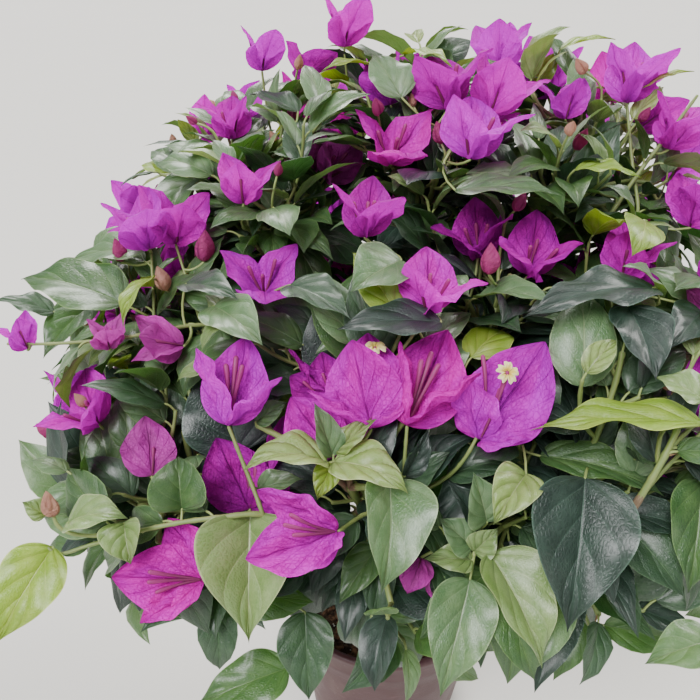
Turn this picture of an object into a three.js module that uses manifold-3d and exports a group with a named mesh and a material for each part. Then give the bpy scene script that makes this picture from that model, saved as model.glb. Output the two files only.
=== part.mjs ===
// A bougainvillea bush in its nursery pot: a pot filled with potting mix, a short leaning trunk with a root
// flare, twelve arching boughs, and on each bough one mass of foliage with its leaves and its three-bracted blooms.
// Lengths are millimetres. +Z is up, the front of the bush faces -Y, and the origin is at the middle of the
// pot's flat underside.
import * as THREE from "three";
import { mergeVertices } from "three/addons/utils/BufferGeometryUtils.js";
import Module from "manifold-3d";

const wasm = await Module();
wasm.setup();

// Driving dimensions
const GAP = 0.3; // between solids that touch on the real plant
const GRID = 0.002; // every corner lies on a grid this fine, so that corners that all but meet are one
const POT = {
  height: 145, rimRadius: 85, footRadius: 62, wall: 2.6, floor: 3.5,
  bandHeight: 22, bandProud: 3.2, ledgeHeight: 3, sides: 36,
  drains: 6, drainRadius: 5, drainCircle: 40,
};
const SOIL = { belowRim: 13, crown: 3 };
const TRUNK = {
  tipHeight: 292, footRadius: 9.5, tipRadius: 4.6, lean: [9, 7], sway: 5,
  flare: 7.5, flareHeight: 11, lobes: 5, lobeDepth: 0.2, sides: 10, steps: 12,
};
// The crown is widest at its waist, rises higher at the back and the right, and is rounded by its squareness.
const CROWN = {
  middle: [10, 5], halfWidth: 245, halfDepth: 216, waist: 335, rise: 190, sink: 128,
  tiltRight: 0.14, tiltBack: 0.6, squareness: 2.4, low: 200, high: 560, heart: 300,
};
const BOUGH = { footRadius: 4.4, tipRadius: 2.7, share: 0.6, sides: 5, steps: 6, outward: 0.4, upward: 0.68 };
const STEM = { footRadius: 3.2, tipRadius: 2 };
const TWIG = {
  footRadius: 1.9, tipRadius: 1.5, shortest: 48, longest: 125,
  innermost: 0.42, outermost: 0.86, margin: 20, tries: 80, spread: 105, slant: 0.55,
};
const LEAF = {
  length: 80, width: 52, thick: 1.6, fold: 0.3, arch: 0.18, droop: 0.3,
  first: 18, spacing: 19, node: 3, sizes: [1, 0.8, 0.62], leans: [0.5, 1.4, 0],
};
const BRACT = { length: 42, width: 36, thick: 1.4, open: 0.78, cup: 0.34, arch: -0.1, hub: 1.6, sizes: [1, 0.8] };
const BLOOM_FROM = 320; // twigs that end above this height mostly flower

const COLOUR = { pot: "#4b2a2b", soil: "#33261d", bark: "#6b5a45", leaf: "#3f6239" };

// One row for each mass of foliage: its bearing round the crown in degrees, how far out and how far up the
// crown its middle lies, how far its stem runs on past that, how many seeded twigs it bears, and the height
// at which its bough leaves the trunk. Where a row has shoots, those twigs end at the places given, and a 1
// after a place makes the twig flower.
const MASSES = [
  { name: "front_left", bearing: 224, out: 0.87, up: 0.4, run: 62, twigs: 6, joins: 218,
    shoots: [[-125, -158, 333, 1], [-139, -109, 362, 1], [-93, -156, 252, 0], [-178, -120, 300, 0]] },
  { name: "front_middle", bearing: 256, out: 0.64, up: 0.486, run: 48, twigs: 4, joins: 172,
    shoots: [[-80, -118, 388, 1], [-32, -114, 398, 1], [8, -113, 400, 1], [-54, -158, 354, 1],
      [-62, -140, 268, 0], [-8, -150, 368, 0]] },
  { name: "front_right", bearing: 298, out: 0.7, up: 0.43, run: 52, twigs: 5, joins: 206,
    shoots: [[48, -116, 397, 1], [31, -160, 338, 0], [96, -124, 356, 0], [126, -140, 402, 0],
      [110, -150, 275, 0]] },
  { name: "left", bearing: 180, out: 0.75, up: 0.47, run: 62, twigs: 9, joins: 196, shoots: [] },
  { name: "right", bearing: 354, out: 0.72, up: 0.5, run: 62, twigs: 9, joins: 188, shoots: [] },
  { name: "back_left", bearing: 133, out: 0.8, up: 0.5, run: 58, twigs: 9, joins: 214, shoots: [] },
  { name: "back_middle", bearing: 88, out: 0.76, up: 0.44, run: 52, twigs: 9, joins: 180, shoots: [] },
  { name: "back_right", bearing: 46, out: 0.82, up: 0.5, run: 58, twigs: 9, joins: 230, shoots: [] },
  { name: "top_left", bearing: 148, out: 0.52, up: 0.72, run: 58, twigs: 9, joins: 252, shoots: [] },
  { name: "top_middle", bearing: 84, out: 0.36, up: 0.77, run: 62, twigs: 9, joins: 284, shoots: [] },
  { name: "top_right", bearing: 30, out: 0.58, up: 0.75, run: 62, twigs: 9, joins: 266, shoots: [] },
  { name: "heart", bearing: 318, out: 0.17, up: 0.43, run: 34, twigs: 9, joins: 240, shoots: [] },
];

const UP = new THREE.Vector3(0, 0, 1);
const soilTop = POT.height - SOIL.belowRim;

/** Repeatable random numbers from 0 to 1, from a whole-number seed. */
function randomFrom(seed) {
  let state = Math.imul(seed, 2654435761) >>> 0;
  return () => {
    state = (Math.imul(state, 1664525) + 1013904223) >>> 0;
    return state / 4294967296;
  };
}

/** The part of a direction that is square to another, at unit length. */
function squareTo(direction, other) {
  return direction.clone().addScaledVector(other, -direction.dot(other)).normalize();
}

/** The middle of a list of points. */
function middleOf(points) {
  return points.reduce((sum, point) => sum.add(point), new THREE.Vector3()).divideScalar(points.length);
}

/** A closed solid from a surface, with its corners on the grid and those that meet made one. */
function solidFrom(geometry) {
  const bare = new THREE.BufferGeometry();
  const places = geometry.getAttribute("position").array;
  const gridded = Array.from(places, (place) => GRID * Math.round(place / GRID));
  bare.setAttribute("position", new THREE.Float32BufferAttribute(gridded, 3));
  bare.setIndex(geometry.index);
  const merged = mergeVertices(bare, GRID / 2);
  return new wasm.Manifold(
    new wasm.Mesh({
      numProp: 3,
      vertProperties: new Float32Array(merged.attributes.position.array),
      triVerts: new Uint32Array(merged.index.array),
    }),
  );
}

/** The surface of a closed solid. */
function geometryOf(solid) {
  const made = solid.getMesh();
  const geometry = new THREE.BufferGeometry();
  geometry.setAttribute("position", new THREE.BufferAttribute(made.vertProperties, 3));
  geometry.setIndex(new THREE.BufferAttribute(made.triVerts, 1));
  return geometry;
}

/** The largest body of a solid, without its sealed hollows and loose scraps. */
function largestBody(solid) {
  return solid.decompose().reduce((best, next) => (next.volume() > best.volume() ? next : best));
}

/** A named mesh of a solid. */
function meshOf(name, solid, colour, roughness) {
  const geometry = geometryOf(solid);
  geometry.computeVertexNormals();
  const material = new THREE.MeshStandardMaterial({ color: colour, roughness, metalness: 0 });
  const mesh = new THREE.Mesh(geometry, material);
  mesh.name = name;
  return mesh;
}

/** A solid turned about +Z from a list of [radius, height] points that starts and ends on the axis. */
function turned(profile, sides) {
  const points = profile.map(([radius, height]) => new THREE.Vector2(radius, height));
  return solidFrom(new THREE.LatheGeometry(points, sides).rotateX(Math.PI / 2));
}

/** Rings of corners round a curve at shares of the way along it. radiusAt takes the share and the angle round. */
function ringsAt(curve, shares, radiusAt, sides, roll = 0) {
  const foot = curve.getTangent(0);
  let right = squareTo(new THREE.Vector3(0.3, 1, 0.2), foot).applyAxisAngle(foot, roll);
  return shares.map((share) => {
    const along = curve.getTangent(share);
    right = squareTo(right, along);
    const front = along.clone().cross(right);
    const corners = Array.from({ length: sides }, (_, side) => {
      const angle = (2 * Math.PI * side) / sides;
      const radius = radiusAt(share, angle);
      return curve
        .getPoint(share)
        .addScaledVector(right, radius * Math.cos(angle))
        .addScaledVector(front, radius * Math.sin(angle));
    });
    return { along, corners };
  });
}

/** A closed tube through rings. Each bud grows from one of its sides, and the end bud closes its end. */
function tube(rings, buds = [], endBud = null) {
  const sides = rings[0].corners.length;
  const corners = rings.flatMap((ring) => ring.corners);
  const last = corners.length - sides;
  const triangles = [];
  const grow = (bud, rim) => {
    triangles.push(...bud.faces(rim, corners.length).flat());
    corners.push(...bud.corners);
  };
  for (let ring = 0; ring < rings.length - 1; ring++) {
    for (let side = 0; side < sides; side++) {
      const here = ring * sides + side;
      const next = ring * sides + ((side + 1) % sides);
      const bud = buds.find((one) => one.ring === rings[ring] && one.side === side);
      if (bud) grow(bud, [here, next, next + sides, here + sides]);
      else triangles.push(here, next, next + sides, here, next + sides, here + sides);
    }
  }
  for (let side = 1; side < sides - 1; side++) triangles.push(0, side + 1, side);
  if (endBud) grow(endBud, [last, last + 1, last + 2]);
  else for (let side = 1; side < sides - 1; side++) triangles.push(last, last + side, last + side + 1);
  const geometry = new THREE.BufferGeometry().setFromPoints(corners);
  geometry.setIndex(triangles);
  return solidFrom(geometry);
}

/** A closed round limb along a curve. */
function limb(curve, radiusAt, sides, steps) {
  const shares = Array.from({ length: steps + 1 }, (_, i) => i / steps);
  return tube(ringsAt(curve, shares, radiusAt, sides));
}

/** The same limb as balls along its middle, for telling what comes too near to it. */
function ballsAlong(curve, radiusAt) {
  const spacing = 4;
  const count = Math.ceil(curve.getLength() / spacing);
  return Array.from({ length: count + 1 }, (_, i) => ({
    middle: curve.getPoint(i / count),
    radius: radiusAt(i / count),
  }));
}

/** The pot: a tapered wall, a proud band under the rim, and a flat underside with a ring of drain holes. */
function makePot() {
  const bandFoot = POT.height - POT.bandHeight;
  const shell = turned(
    [
      [0, 0],
      [POT.footRadius - 1.5, 0],
      [POT.footRadius, 1.5],
      [wallAt(bandFoot - POT.ledgeHeight), bandFoot - POT.ledgeHeight],
      [wallAt(bandFoot) + POT.bandProud, bandFoot],
      [POT.rimRadius, POT.height - 1.5],
      [POT.rimRadius - 1.2, POT.height],
      [wallAt(POT.height) - POT.wall + 1, POT.height],
      [wallAt(POT.height) - POT.wall, POT.height - 1.5],
      [wallAt(POT.floor) - POT.wall, POT.floor],
      [0, POT.floor],
    ],
    POT.sides,
  );
  const drains = Array.from({ length: POT.drains }, (_, i) => {
    const angle = (2 * Math.PI * i) / POT.drains;
    const hole = new THREE.CylinderGeometry(POT.drainRadius, POT.drainRadius, 4 * POT.floor, 10);
    hole.rotateX(Math.PI / 2);
    hole.translate(POT.drainCircle * Math.cos(angle), POT.drainCircle * Math.sin(angle), 0);
    return solidFrom(hole);
  });
  return drains.reduce((left, hole) => left.subtract(hole), shell);
}

/** The radius of the pot's wall outside, at a height. */
function wallAt(height) {
  const slope = (POT.rimRadius - POT.bandProud - POT.footRadius) / POT.height;
  return POT.footRadius + slope * height;
}

/** The potting mix: it fills the pot, and its top is a little crowned with a level middle for the trunk. */
function makeSoil() {
  const level = TRUNK.footRadius + TRUNK.flare + 8;
  const insideAt = (height) => wallAt(height) - POT.wall - GAP - 0.2;
  const foot = POT.floor + GAP;
  const edge = soilTop - SOIL.crown;
  return turned(
    [
      [0, foot],
      [insideAt(foot), foot],
      [insideAt(edge), edge],
      [level, soilTop],
      [0, soilTop],
    ],
    POT.sides,
  );
}

// The trunk: flat at the mix, flared into roots there, leaning and swaying up to its tip
const trunkFoot = soilTop + GAP;
const trunkRise = TRUNK.tipHeight - trunkFoot;
const [leanX, leanY] = TRUNK.lean;
const trunkTo = (tipHeight) =>
  new THREE.CubicBezierCurve3(
    new THREE.Vector3(0, 0, trunkFoot),
    new THREE.Vector3(0, 0, trunkFoot + 0.3 * trunkRise),
    new THREE.Vector3(leanX + TRUNK.sway, leanY - TRUNK.sway, trunkFoot + 0.7 * trunkRise),
    new THREE.Vector3(leanX, leanY, tipHeight),
  );
const trunkCurve = trunkTo(TRUNK.tipHeight);

function trunkRadius(share, angle = 0) {
  const flare = Math.exp((-share * trunkRise) / TRUNK.flareHeight);
  const lobes = 1 + TRUNK.lobeDepth * flare * Math.cos(TRUNK.lobes * angle);
  return (THREE.MathUtils.lerp(TRUNK.footRadius, TRUNK.tipRadius, share) + TRUNK.flare * flare) * lobes;
}

/** The share of the way up the trunk at which it reaches a height. */
function trunkShareAt(height) {
  let share = 0.5;
  for (let step = 0.25; step > 1e-5; step /= 2) share += trunkCurve.getPoint(share).z < height ? step : -step;
  return share;
}

/** How far out a point lies: 0 at the middle of the crown's waist, 1 at the crown's outline. */
function crownShare(point) {
  const right = (point.x - CROWN.middle[0]) / CROWN.halfWidth;
  const back = (point.y - CROWN.middle[1]) / CROWN.halfDepth;
  const height = point.z - CROWN.waist;
  const tallest = CROWN.rise * Math.max(0.3, 1 + CROWN.tiltRight * right + CROWN.tiltBack * back);
  const shares = [right, back, height / (height > 0 ? tallest : CROWN.sink)];
  return shares.reduce((sum, share) => sum + Math.abs(share) ** CROWN.squareness, 0) ** (1 / CROWN.squareness);
}

/** Where one mass of foliage lies, with the curves of its bough and of its stem. */
function placeMass(row) {
  const turn = THREE.MathUtils.degToRad(row.bearing);
  const centre = new THREE.Vector3(
    CROWN.middle[0] + CROWN.halfWidth * row.out * Math.cos(turn),
    CROWN.middle[1] + CROWN.halfDepth * row.out * Math.sin(turn),
    THREE.MathUtils.lerp(CROWN.low, CROWN.high, row.up),
  );
  const outward = centre.clone().sub(new THREE.Vector3(...CROWN.middle, CROWN.heart)).normalize();
  const foot = trunkCurve.getPoint(trunkShareAt(row.joins));
  const way = centre.clone().sub(foot).multiplyScalar(BOUGH.share);
  const toElbow = new THREE.Vector3(BOUGH.outward * way.x, BOUGH.outward * way.y, BOUGH.upward * way.z);
  const elbow = foot.clone().add(toElbow);
  const bough = new THREE.QuadraticBezierCurve3(foot, elbow, foot.clone().add(way));
  const start = bough.getPoint(1).addScaledVector(bough.getTangent(1), GAP);
  let run = row.run;
  while (crownShare(centre.clone().addScaledVector(outward, run)) > TWIG.outermost) run -= 2;
  const tip = centre.clone().addScaledVector(outward, run);
  const bend = start.clone().addScaledVector(bough.getTangent(1), 0.45 * start.distanceTo(tip));
  return { ...row, centre, outward, bough, stem: new THREE.QuadraticBezierCurve3(start, bend, tip) };
}

const masses = MASSES.map(placeMass);
const boughRadius = (share) => THREE.MathUtils.lerp(BOUGH.footRadius, BOUGH.tipRadius, share);
const stemRadius = (share) => THREE.MathUtils.lerp(STEM.footRadius, STEM.tipRadius, share);
const twigRadius = (share) => THREE.MathUtils.lerp(TWIG.footRadius, TWIG.tipRadius, share);
const limbBalls = [
  ...ballsAlong(trunkCurve, trunkRadius),
  ...masses.flatMap((mass) => ballsAlong(mass.bough, boughRadius)),
];

/** How deep a point lies inside a mass's own share of the crown, which ends halfway to each other mass. */
function depthInside(point, mass) {
  const own = point.distanceToSquared(mass.centre);
  const depths = masses
    .filter((other) => other !== mass)
    .map((other) => (point.distanceToSquared(other.centre) - own) / (2 * mass.centre.distanceTo(other.centre)));
  return Math.min(...depths);
}

/** Whether a point lies inside the crown's outline, and clear of the pot. */
function withinReach(point) {
  const overPot = Math.hypot(point.x, point.y) < POT.rimRadius + 8;
  return crownShare(point) < 1 && point.z > (overPot ? POT.height + 12 : 0);
}

/** Whether a twig keeps to its mass's space and clear of the trunk and the boughs. */
function twigFits(curve, mass) {
  const samples = 12;
  return Array.from({ length: samples }, (_, i) => (i + 1) / samples).every((share) => {
    const point = curve.getPoint(share);
    const radius = twigRadius(share);
    const clear = limbBalls.every((ball) => ball.middle.distanceTo(point) > ball.radius + radius + 3);
    return clear && withinReach(point) && depthInside(point, mass) > radius + GAP;
  });
}

// A blade is a list of six corners: base, left, tip, right, and the top and the underside of its middle.
const BLADE_FACES = [[0, 4, 1], [1, 4, 2], [2, 4, 3], [3, 4, 0], [0, 1, 5], [1, 2, 5], [2, 3, 5], [3, 0, 5]];
const BLADE_EDGES = [[0, 1], [1, 2], [2, 3], [3, 0], [0, 4], [4, 2], [1, 4], [4, 3]];

/** The corners of a folded, arching blade. */
function bladeCorners({ root, along, face, length, width, thick, fold, arch }) {
  const beside = along.clone().cross(face);
  const at = (forward, sideways, upward) =>
    root.clone().addScaledVector(along, forward).addScaledVector(beside, sideways).addScaledVector(face, upward);
  const widest = 0.4 * length;
  const raised = (fold * width) / 2;
  return [
    root,
    at(widest, -width / 2, raised),
    at(length, 0, -arch * length),
    at(widest, width / 2, raised),
    at(widest, 0, thick / 2),
    at(widest, 0, -thick / 2),
  ];
}

/** Whether a blade keeps to its mass's space and clear of the trunk and the boughs. */
function bladeFits(blade, mass) {
  if (!blade.every((corner) => withinReach(corner) && depthInside(corner, mass) > GAP)) return false;
  const nearest = new THREE.Vector3();
  const reach = blade[0].distanceTo(blade[2]);
  const near = limbBalls.filter((ball) => ball.middle.distanceTo(blade[4]) < reach + ball.radius);
  return BLADE_FACES.every(([a, b, c]) => {
    const face = new THREE.Triangle(blade[a], blade[b], blade[c]);
    return near.every(
      ({ middle, radius }) => face.closestPointToPoint(middle, nearest).distanceTo(middle) > radius + 1,
    );
  });
}

/** Whether the straight way between two points runs through a blade. */
function pierces(from, to, blade) {
  const way = to.clone().sub(from);
  const ray = new THREE.Ray(from, way.clone().normalize());
  const hit = new THREE.Vector3();
  return BLADE_FACES.some(([a, b, c]) => {
    const met = ray.intersectTriangle(blade[a], blade[b], blade[c], false, hit);
    return met !== null && hit.distanceTo(from) < 0.97 * way.length();
  });
}

/** Whether two blades cross. */
function bladesCross(blade, other) {
  const reach = blade[0].distanceTo(blade[2]) + other[0].distanceTo(other[2]);
  if (blade[4].distanceTo(other[4]) > 0.75 * reach) return false;
  return BLADE_EDGES.some(([a, b]) => pierces(blade[a], blade[b], other) || pierces(other[a], other[b], blade));
}

/** Whether a limb's middle line runs through a blade. */
function limbCrosses(curve, blade) {
  const points = curve.getPoints(8);
  return points.slice(1).some((point, i) => pierces(points[i], point, blade));
}

/** A leaf that grows from a rim of three or four corners, so that the shoot and the leaf are one surface. */
function leafBud(rimCorners, along, size) {
  const root = middleOf(rimCorners);
  const face = squareTo(UP, along);
  const beside = along.clone().cross(face);
  const blade = bladeCorners({
    root, along, face, length: LEAF.length * size, width: LEAF.width * size,
    thick: LEAF.thick, fold: LEAF.fold, arch: LEAF.arch,
  });
  const places = rimCorners.length === 4 ? [[1, -1], [-1, -1], [-1, 1], [1, 1]] : [[1, -1], [-1, -1], [0, 1]];
  const match = (turn) =>
    places.reduce((sum, [sideways, upward], i) => {
      const way = rimCorners[(i + turn) % places.length].clone().sub(root);
      return sum + sideways * way.dot(beside) + upward * way.dot(face);
    }, 0);
  const turn = places.map((_, i) => i).reduce((best, next) => (match(next) > match(best) ? next : best));
  const faces = (rim, first) => {
    const [left, tip, right, top, under] = [0, 1, 2, 3, 4].map((corner) => first + corner);
    const [a, b, c, d = c] = rim.map((_, i) => rim[(i + turn) % rim.length]);
    const all = [
      [a, b, under], [b, left, under], [left, tip, under], [tip, right, under], [right, a, under],
      [c, d, top], [d, right, top], [right, tip, top], [tip, left, top], [left, c, top],
      [b, c, left], [d, a, right],
    ];
    return all.filter(([from, to]) => from !== to);
  };
  return { blades: [blade], corners: blade.slice(1), faces };
}

/** A bloom of three bracts that grows from the three corners of a shoot's end. */
function bloomBud(rimCorners, end, size) {
  const root = middleOf(rimCorners);
  const axis = end.clone().addScaledVector(UP, 0.6).normalize();
  const blades = rimCorners.map((corner, i) => {
    const outward = middleOf([corner, rimCorners[(i + 1) % 3]]).sub(root);
    const along = axis.clone().multiplyScalar(Math.cos(BRACT.open));
    along.addScaledVector(squareTo(outward, axis), Math.sin(BRACT.open));
    return bladeCorners({
      root, along, face: squareTo(axis, along), length: BRACT.length * size, width: BRACT.width * size,
      thick: BRACT.thick, fold: BRACT.cup, arch: BRACT.arch,
    });
  });
  const corners = [root.clone().addScaledVector(axis, BRACT.hub), ...blades.flatMap((blade) => blade.slice(1, 4))];
  const faces = (rim, hub) =>
    [0, 1, 2].flatMap((petal) => {
      const [left, tip, right] = [1, 2, 3].map((corner) => hub + 3 * petal + corner);
      const from = rim[petal];
      const to = rim[(petal + 1) % 3];
      return [
        [from, to, left], [from, left, tip], [from, tip, right],
        [hub, left, to], [hub, tip, left], [hub, right, tip], [hub, from, right],
      ];
    });
  return { blades, corners, faces };
}

/** A twig to an end point, from the place on the stem where it can leave at the usual slant. */
function twigTo(end, stem) {
  const misfit = (share) => {
    const way = end.clone().sub(stem.getPoint(share));
    return Math.abs(way.dot(stem.getTangent(share)) / way.length() - TWIG.slant) + 0.003 * way.length();
  };
  const shares = Array.from({ length: 10 }, (_, i) => 0.05 + 0.1 * i);
  const share = shares.reduce((best, next) => (misfit(next) < misfit(best) ? next : best));
  const start = stem.getPoint(share);
  const run = start.distanceTo(end);
  const bend = start.clone().lerp(end, 0.5).addScaledVector(stem.getTangent(share), 0.12 * run);
  bend.z += 0.12 * run;
  return new THREE.QuadraticBezierCurve3(start, bend, end);
}

/** Every twig of a mass: the placed shoots, then seeded twigs that each end as far as can be from the others. */
function twigsOf(mass, random) {
  const placed = mass.shoots.map(([x, y, z, flowers]) => {
    const end = new THREE.Vector3(x, y, z);
    return { curve: twigTo(end, mass.stem), flowers: flowers > 0 };
  });
  const twigs = placed.filter(({ curve }) => twigFits(curve, mass));
  const ends = [mass.stem.getPoint(1), ...twigs.map(({ curve }) => curve.getPoint(1))];
  for (let i = 0; i < mass.twigs; i++) {
    let best = null;
    let room = 0;
    for (let attempt = 0; attempt < TWIG.tries; attempt++) {
      const offset = new THREE.Vector3(random() - 0.5, random() - 0.5, random() - 0.5);
      const end = mass.centre.clone().addScaledVector(offset, 2 * TWIG.spread);
      const share = crownShare(end);
      const clearance = Math.min(...ends.map((other) => other.distanceTo(end)));
      if (share < TWIG.innermost || share > TWIG.outermost || clearance < room) continue;
      if (depthInside(end, mass) < TWIG.margin) continue;
      const curve = twigTo(end, mass.stem);
      const length = curve.getLength();
      if (length > TWIG.shortest && length < TWIG.longest && twigFits(curve, mass)) {
        best = curve;
        room = clearance;
      }
    }
    if (best === null) continue;
    ends.push(best.getPoint(1));
    twigs.push({ curve: best, flowers: random() < (best.getPoint(1).z > BLOOM_FROM ? 0.85 : 0.2) });
  }
  return twigs;
}

/** One shoot as a solid: a three-sided limb whose leaves spiral up it, with a bloom or a last leaf at its end. */
function growShoot({ curve, radiusAt, flowers }, mass, random, grown) {
  const fits = ({ blades }) =>
    blades.every(
      (blade) =>
        bladeFits(blade, mass) &&
        !grown.blades.some((other) => bladesCross(blade, other)) &&
        !grown.curves.some((other) => limbCrosses(other, blade)),
    );
  const firstFit = (buds) => {
    const bud = buds.find(fits) ?? null;
    if (bud) grown.blades.push(...bud.blades);
    return bud;
  };
  const length = curve.getLength();
  const nodes = [];
  for (let run = LEAF.first; run < length - 8; run += LEAF.spacing) nodes.push(run / length);
  const half = LEAF.node / (2 * length);
  const shares = [0, ...nodes.flatMap((share) => [share - half, share + half]), 1];
  const rings = ringsAt(curve, shares, radiusAt, 3, 2 * Math.PI * random());
  const tip = rings.at(-1);
  const drooping = (direction) => direction.normalize().addScaledVector(UP, -LEAF.droop).normalize();
  const blooms = flowers ? BRACT.sizes.map((size) => bloomBud(tip.corners, tip.along, size)) : [];
  const endLeaves = LEAF.sizes.map((size) => leafBud(tip.corners, drooping(tip.along.clone()), 0.75 * size));
  const endBud = firstFit([...blooms, ...endLeaves]);
  const firstSide = Math.floor(3 * random());
  const buds = nodes.map((share, node) => {
    const ring = rings[2 * node + 1];
    const after = rings[2 * node + 2];
    const tryAt = (size, further, lean) => {
      const side = (firstSide + node + further) % 3;
      const next = (side + 1) % 3;
      const rim = [ring.corners[side], ring.corners[next], after.corners[next], after.corners[side]];
      const radial = squareTo(middleOf(rim).sub(middleOf([...ring.corners, ...after.corners])), ring.along);
      const along = drooping(ring.along.clone().multiplyScalar(lean).add(radial));
      return { ...leafBud(rim, along, size * (1.08 - 0.25 * share)), ring, side };
    };
    const tries = LEAF.sizes.flatMap((size) =>
      LEAF.leans.flatMap((lean) => [0, 1, 2].map((further) => tryAt(size, further, lean))),
    );
    return firstFit(tries);
  });
  const isEnd = (i) => i === 0 || i === rings.length - 1;
  const kept = rings.filter((_, i) => isEnd(i) || i % 4 === 1 || buds[Math.ceil(i / 2) - 1]);
  return tube(kept, buds.filter(Boolean), endBud);
}

/** One mass of foliage: its stem, twigs, leaves and blooms as one solid. */
function makeMass(mass, index) {
  const random = randomFrom(index + 1);
  const twigs = twigsOf(mass, random).map((twig) => ({ ...twig, radiusAt: twigRadius }));
  const stem = { curve: mass.stem, radiusAt: stemRadius, flowers: mass.stem.getPoint(1).z > BLOOM_FROM };
  const shoots = [...twigs, stem];
  const grown = { blades: [], curves: shoots.map(({ curve }) => curve) };
  const solids = shoots.map((shoot) => growShoot(shoot, mass, random, grown));
  const joined = largestBody(solids.reduce((sum, solid) => sum.add(solid)));
  return largestBody(solidFrom(geometryOf(joined)));
}

const potted = new THREE.Group();
potted.add(meshOf("pot", makePot(), COLOUR.pot, 0.45));
potted.add(meshOf("potting_mix", makeSoil(), COLOUR.soil, 0.95));
potted.add(meshOf("trunk", limb(trunkCurve, trunkRadius, TRUNK.sides, TRUNK.steps), COLOUR.bark, 0.9));
const clearRadius = (share, angle) => trunkRadius(share, angle) + GAP;
const trunkClear = limb(trunkTo(TRUNK.tipHeight + GAP), clearRadius, TRUNK.sides, TRUNK.steps);
masses.forEach((mass, index) => {
  const bough = limb(mass.bough, boughRadius, BOUGH.sides, BOUGH.steps).subtract(trunkClear);
  potted.add(meshOf(`bough_${mass.name}`, largestBody(bough), COLOUR.bark, 0.85));
  potted.add(meshOf(`foliage_${mass.name}`, makeMass(mass, index), COLOUR.leaf, 0.5));
});

export default potted;
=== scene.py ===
"""A bougainvillea bush in its nursery pot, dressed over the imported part.

Lengths are metres unless a name says millimetres. +Z is up and the front of the bush faces -Y. The trunk,
the boughs, the stems and the main twigs follow the same rule and the same sizes as the part's solids. Finer
twigs, leaves, blooms and buds then grow on from them, inside the same outline.
"""
import logging
import math
from dataclasses import dataclass, field
from enum import Enum
from itertools import product
from typing import Callable, Mapping, Sequence

import bpy
import numpy as np
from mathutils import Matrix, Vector, noise
from mathutils.bvhtree import BVHTree


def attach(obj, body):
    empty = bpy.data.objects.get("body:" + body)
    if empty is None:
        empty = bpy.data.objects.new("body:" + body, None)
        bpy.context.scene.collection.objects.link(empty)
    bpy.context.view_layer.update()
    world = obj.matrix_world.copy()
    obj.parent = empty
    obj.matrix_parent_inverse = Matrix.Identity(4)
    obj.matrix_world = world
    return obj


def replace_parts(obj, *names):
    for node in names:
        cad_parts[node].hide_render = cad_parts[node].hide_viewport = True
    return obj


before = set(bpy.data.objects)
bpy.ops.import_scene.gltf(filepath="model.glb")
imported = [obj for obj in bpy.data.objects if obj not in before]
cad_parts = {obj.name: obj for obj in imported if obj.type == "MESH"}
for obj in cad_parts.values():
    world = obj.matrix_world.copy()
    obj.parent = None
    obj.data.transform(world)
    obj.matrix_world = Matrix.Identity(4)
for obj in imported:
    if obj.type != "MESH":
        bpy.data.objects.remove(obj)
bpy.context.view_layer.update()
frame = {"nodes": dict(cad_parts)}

log = logging.getLogger("bougainvillea")
MM = 0.001
UP = np.array([0.0, 0.0, 1.0])
PATTERN = "OFBake"
BODY = "root"
TURN = 2 * math.pi
LEAF_TURN = 2.4  # radians round the limb from one leaf to the next
ASIDE = np.array([0.3, 1.0, 0.2])  # a direction that no limb follows
SKEW = np.array([0.2, 0.3, 1.0])  # a direction that no bloom faces


# Small vector tools
def unit(vector: np.ndarray) -> np.ndarray:
    """Return a vector at length one."""
    return vector / max(float(np.linalg.norm(vector)), 1e-12)


def cross(first: np.ndarray, second: np.ndarray) -> np.ndarray:
    """Return the direction square to two others, by the right-hand rule."""
    (a, b, c), (d, e, f) = first, second
    return np.array([b * f - c * e, c * d - a * f, a * e - b * d])


def square_to(direction: np.ndarray, other: np.ndarray) -> np.ndarray:
    """Return the part of a direction that is square to another, at length one."""
    return unit(direction - other * float(np.dot(direction, other)))


def turned(vector: np.ndarray, axis: np.ndarray, angle: float) -> np.ndarray:
    """Return a vector turned about an axis by an angle in radians."""
    across, ahead = cross(axis, vector), axis * float(np.dot(axis, vector))
    return (vector - ahead) * math.cos(angle) + across * math.sin(angle) + ahead


def lerp(low: float, high: float, share: float) -> float:
    """Return the value at a share of the way from low to high."""
    return low + (high - low) * share


def linear(code: str) -> tuple[float, float, float, float]:
    """Return a hex colour as the linear values that a shader takes.

    Args:
        code: a colour such as "#3f6239".

    Returns:
        Red, green, blue and an alpha of one.
    """
    shades = [int(code[i : i + 2], 16) / 255 for i in (1, 3, 5)]
    red, green, blue = [s / 12.92 if s <= 0.04045 else ((s + 0.055) / 1.055) ** 2.4 for s in shades]
    return (red, green, blue, 1.0)


class Seeded:
    """The repeatable random numbers that the part's source uses."""

    def __init__(self, seed: int) -> None:
        """Start from a whole-number seed."""
        self.state = (seed * 2654435761) & 0xFFFFFFFF

    def next(self) -> float:
        """Return the next number from 0 to 1."""
        self.state = (self.state * 1664525 + 1013904223) & 0xFFFFFFFF
        return self.state / 4294967296


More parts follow.
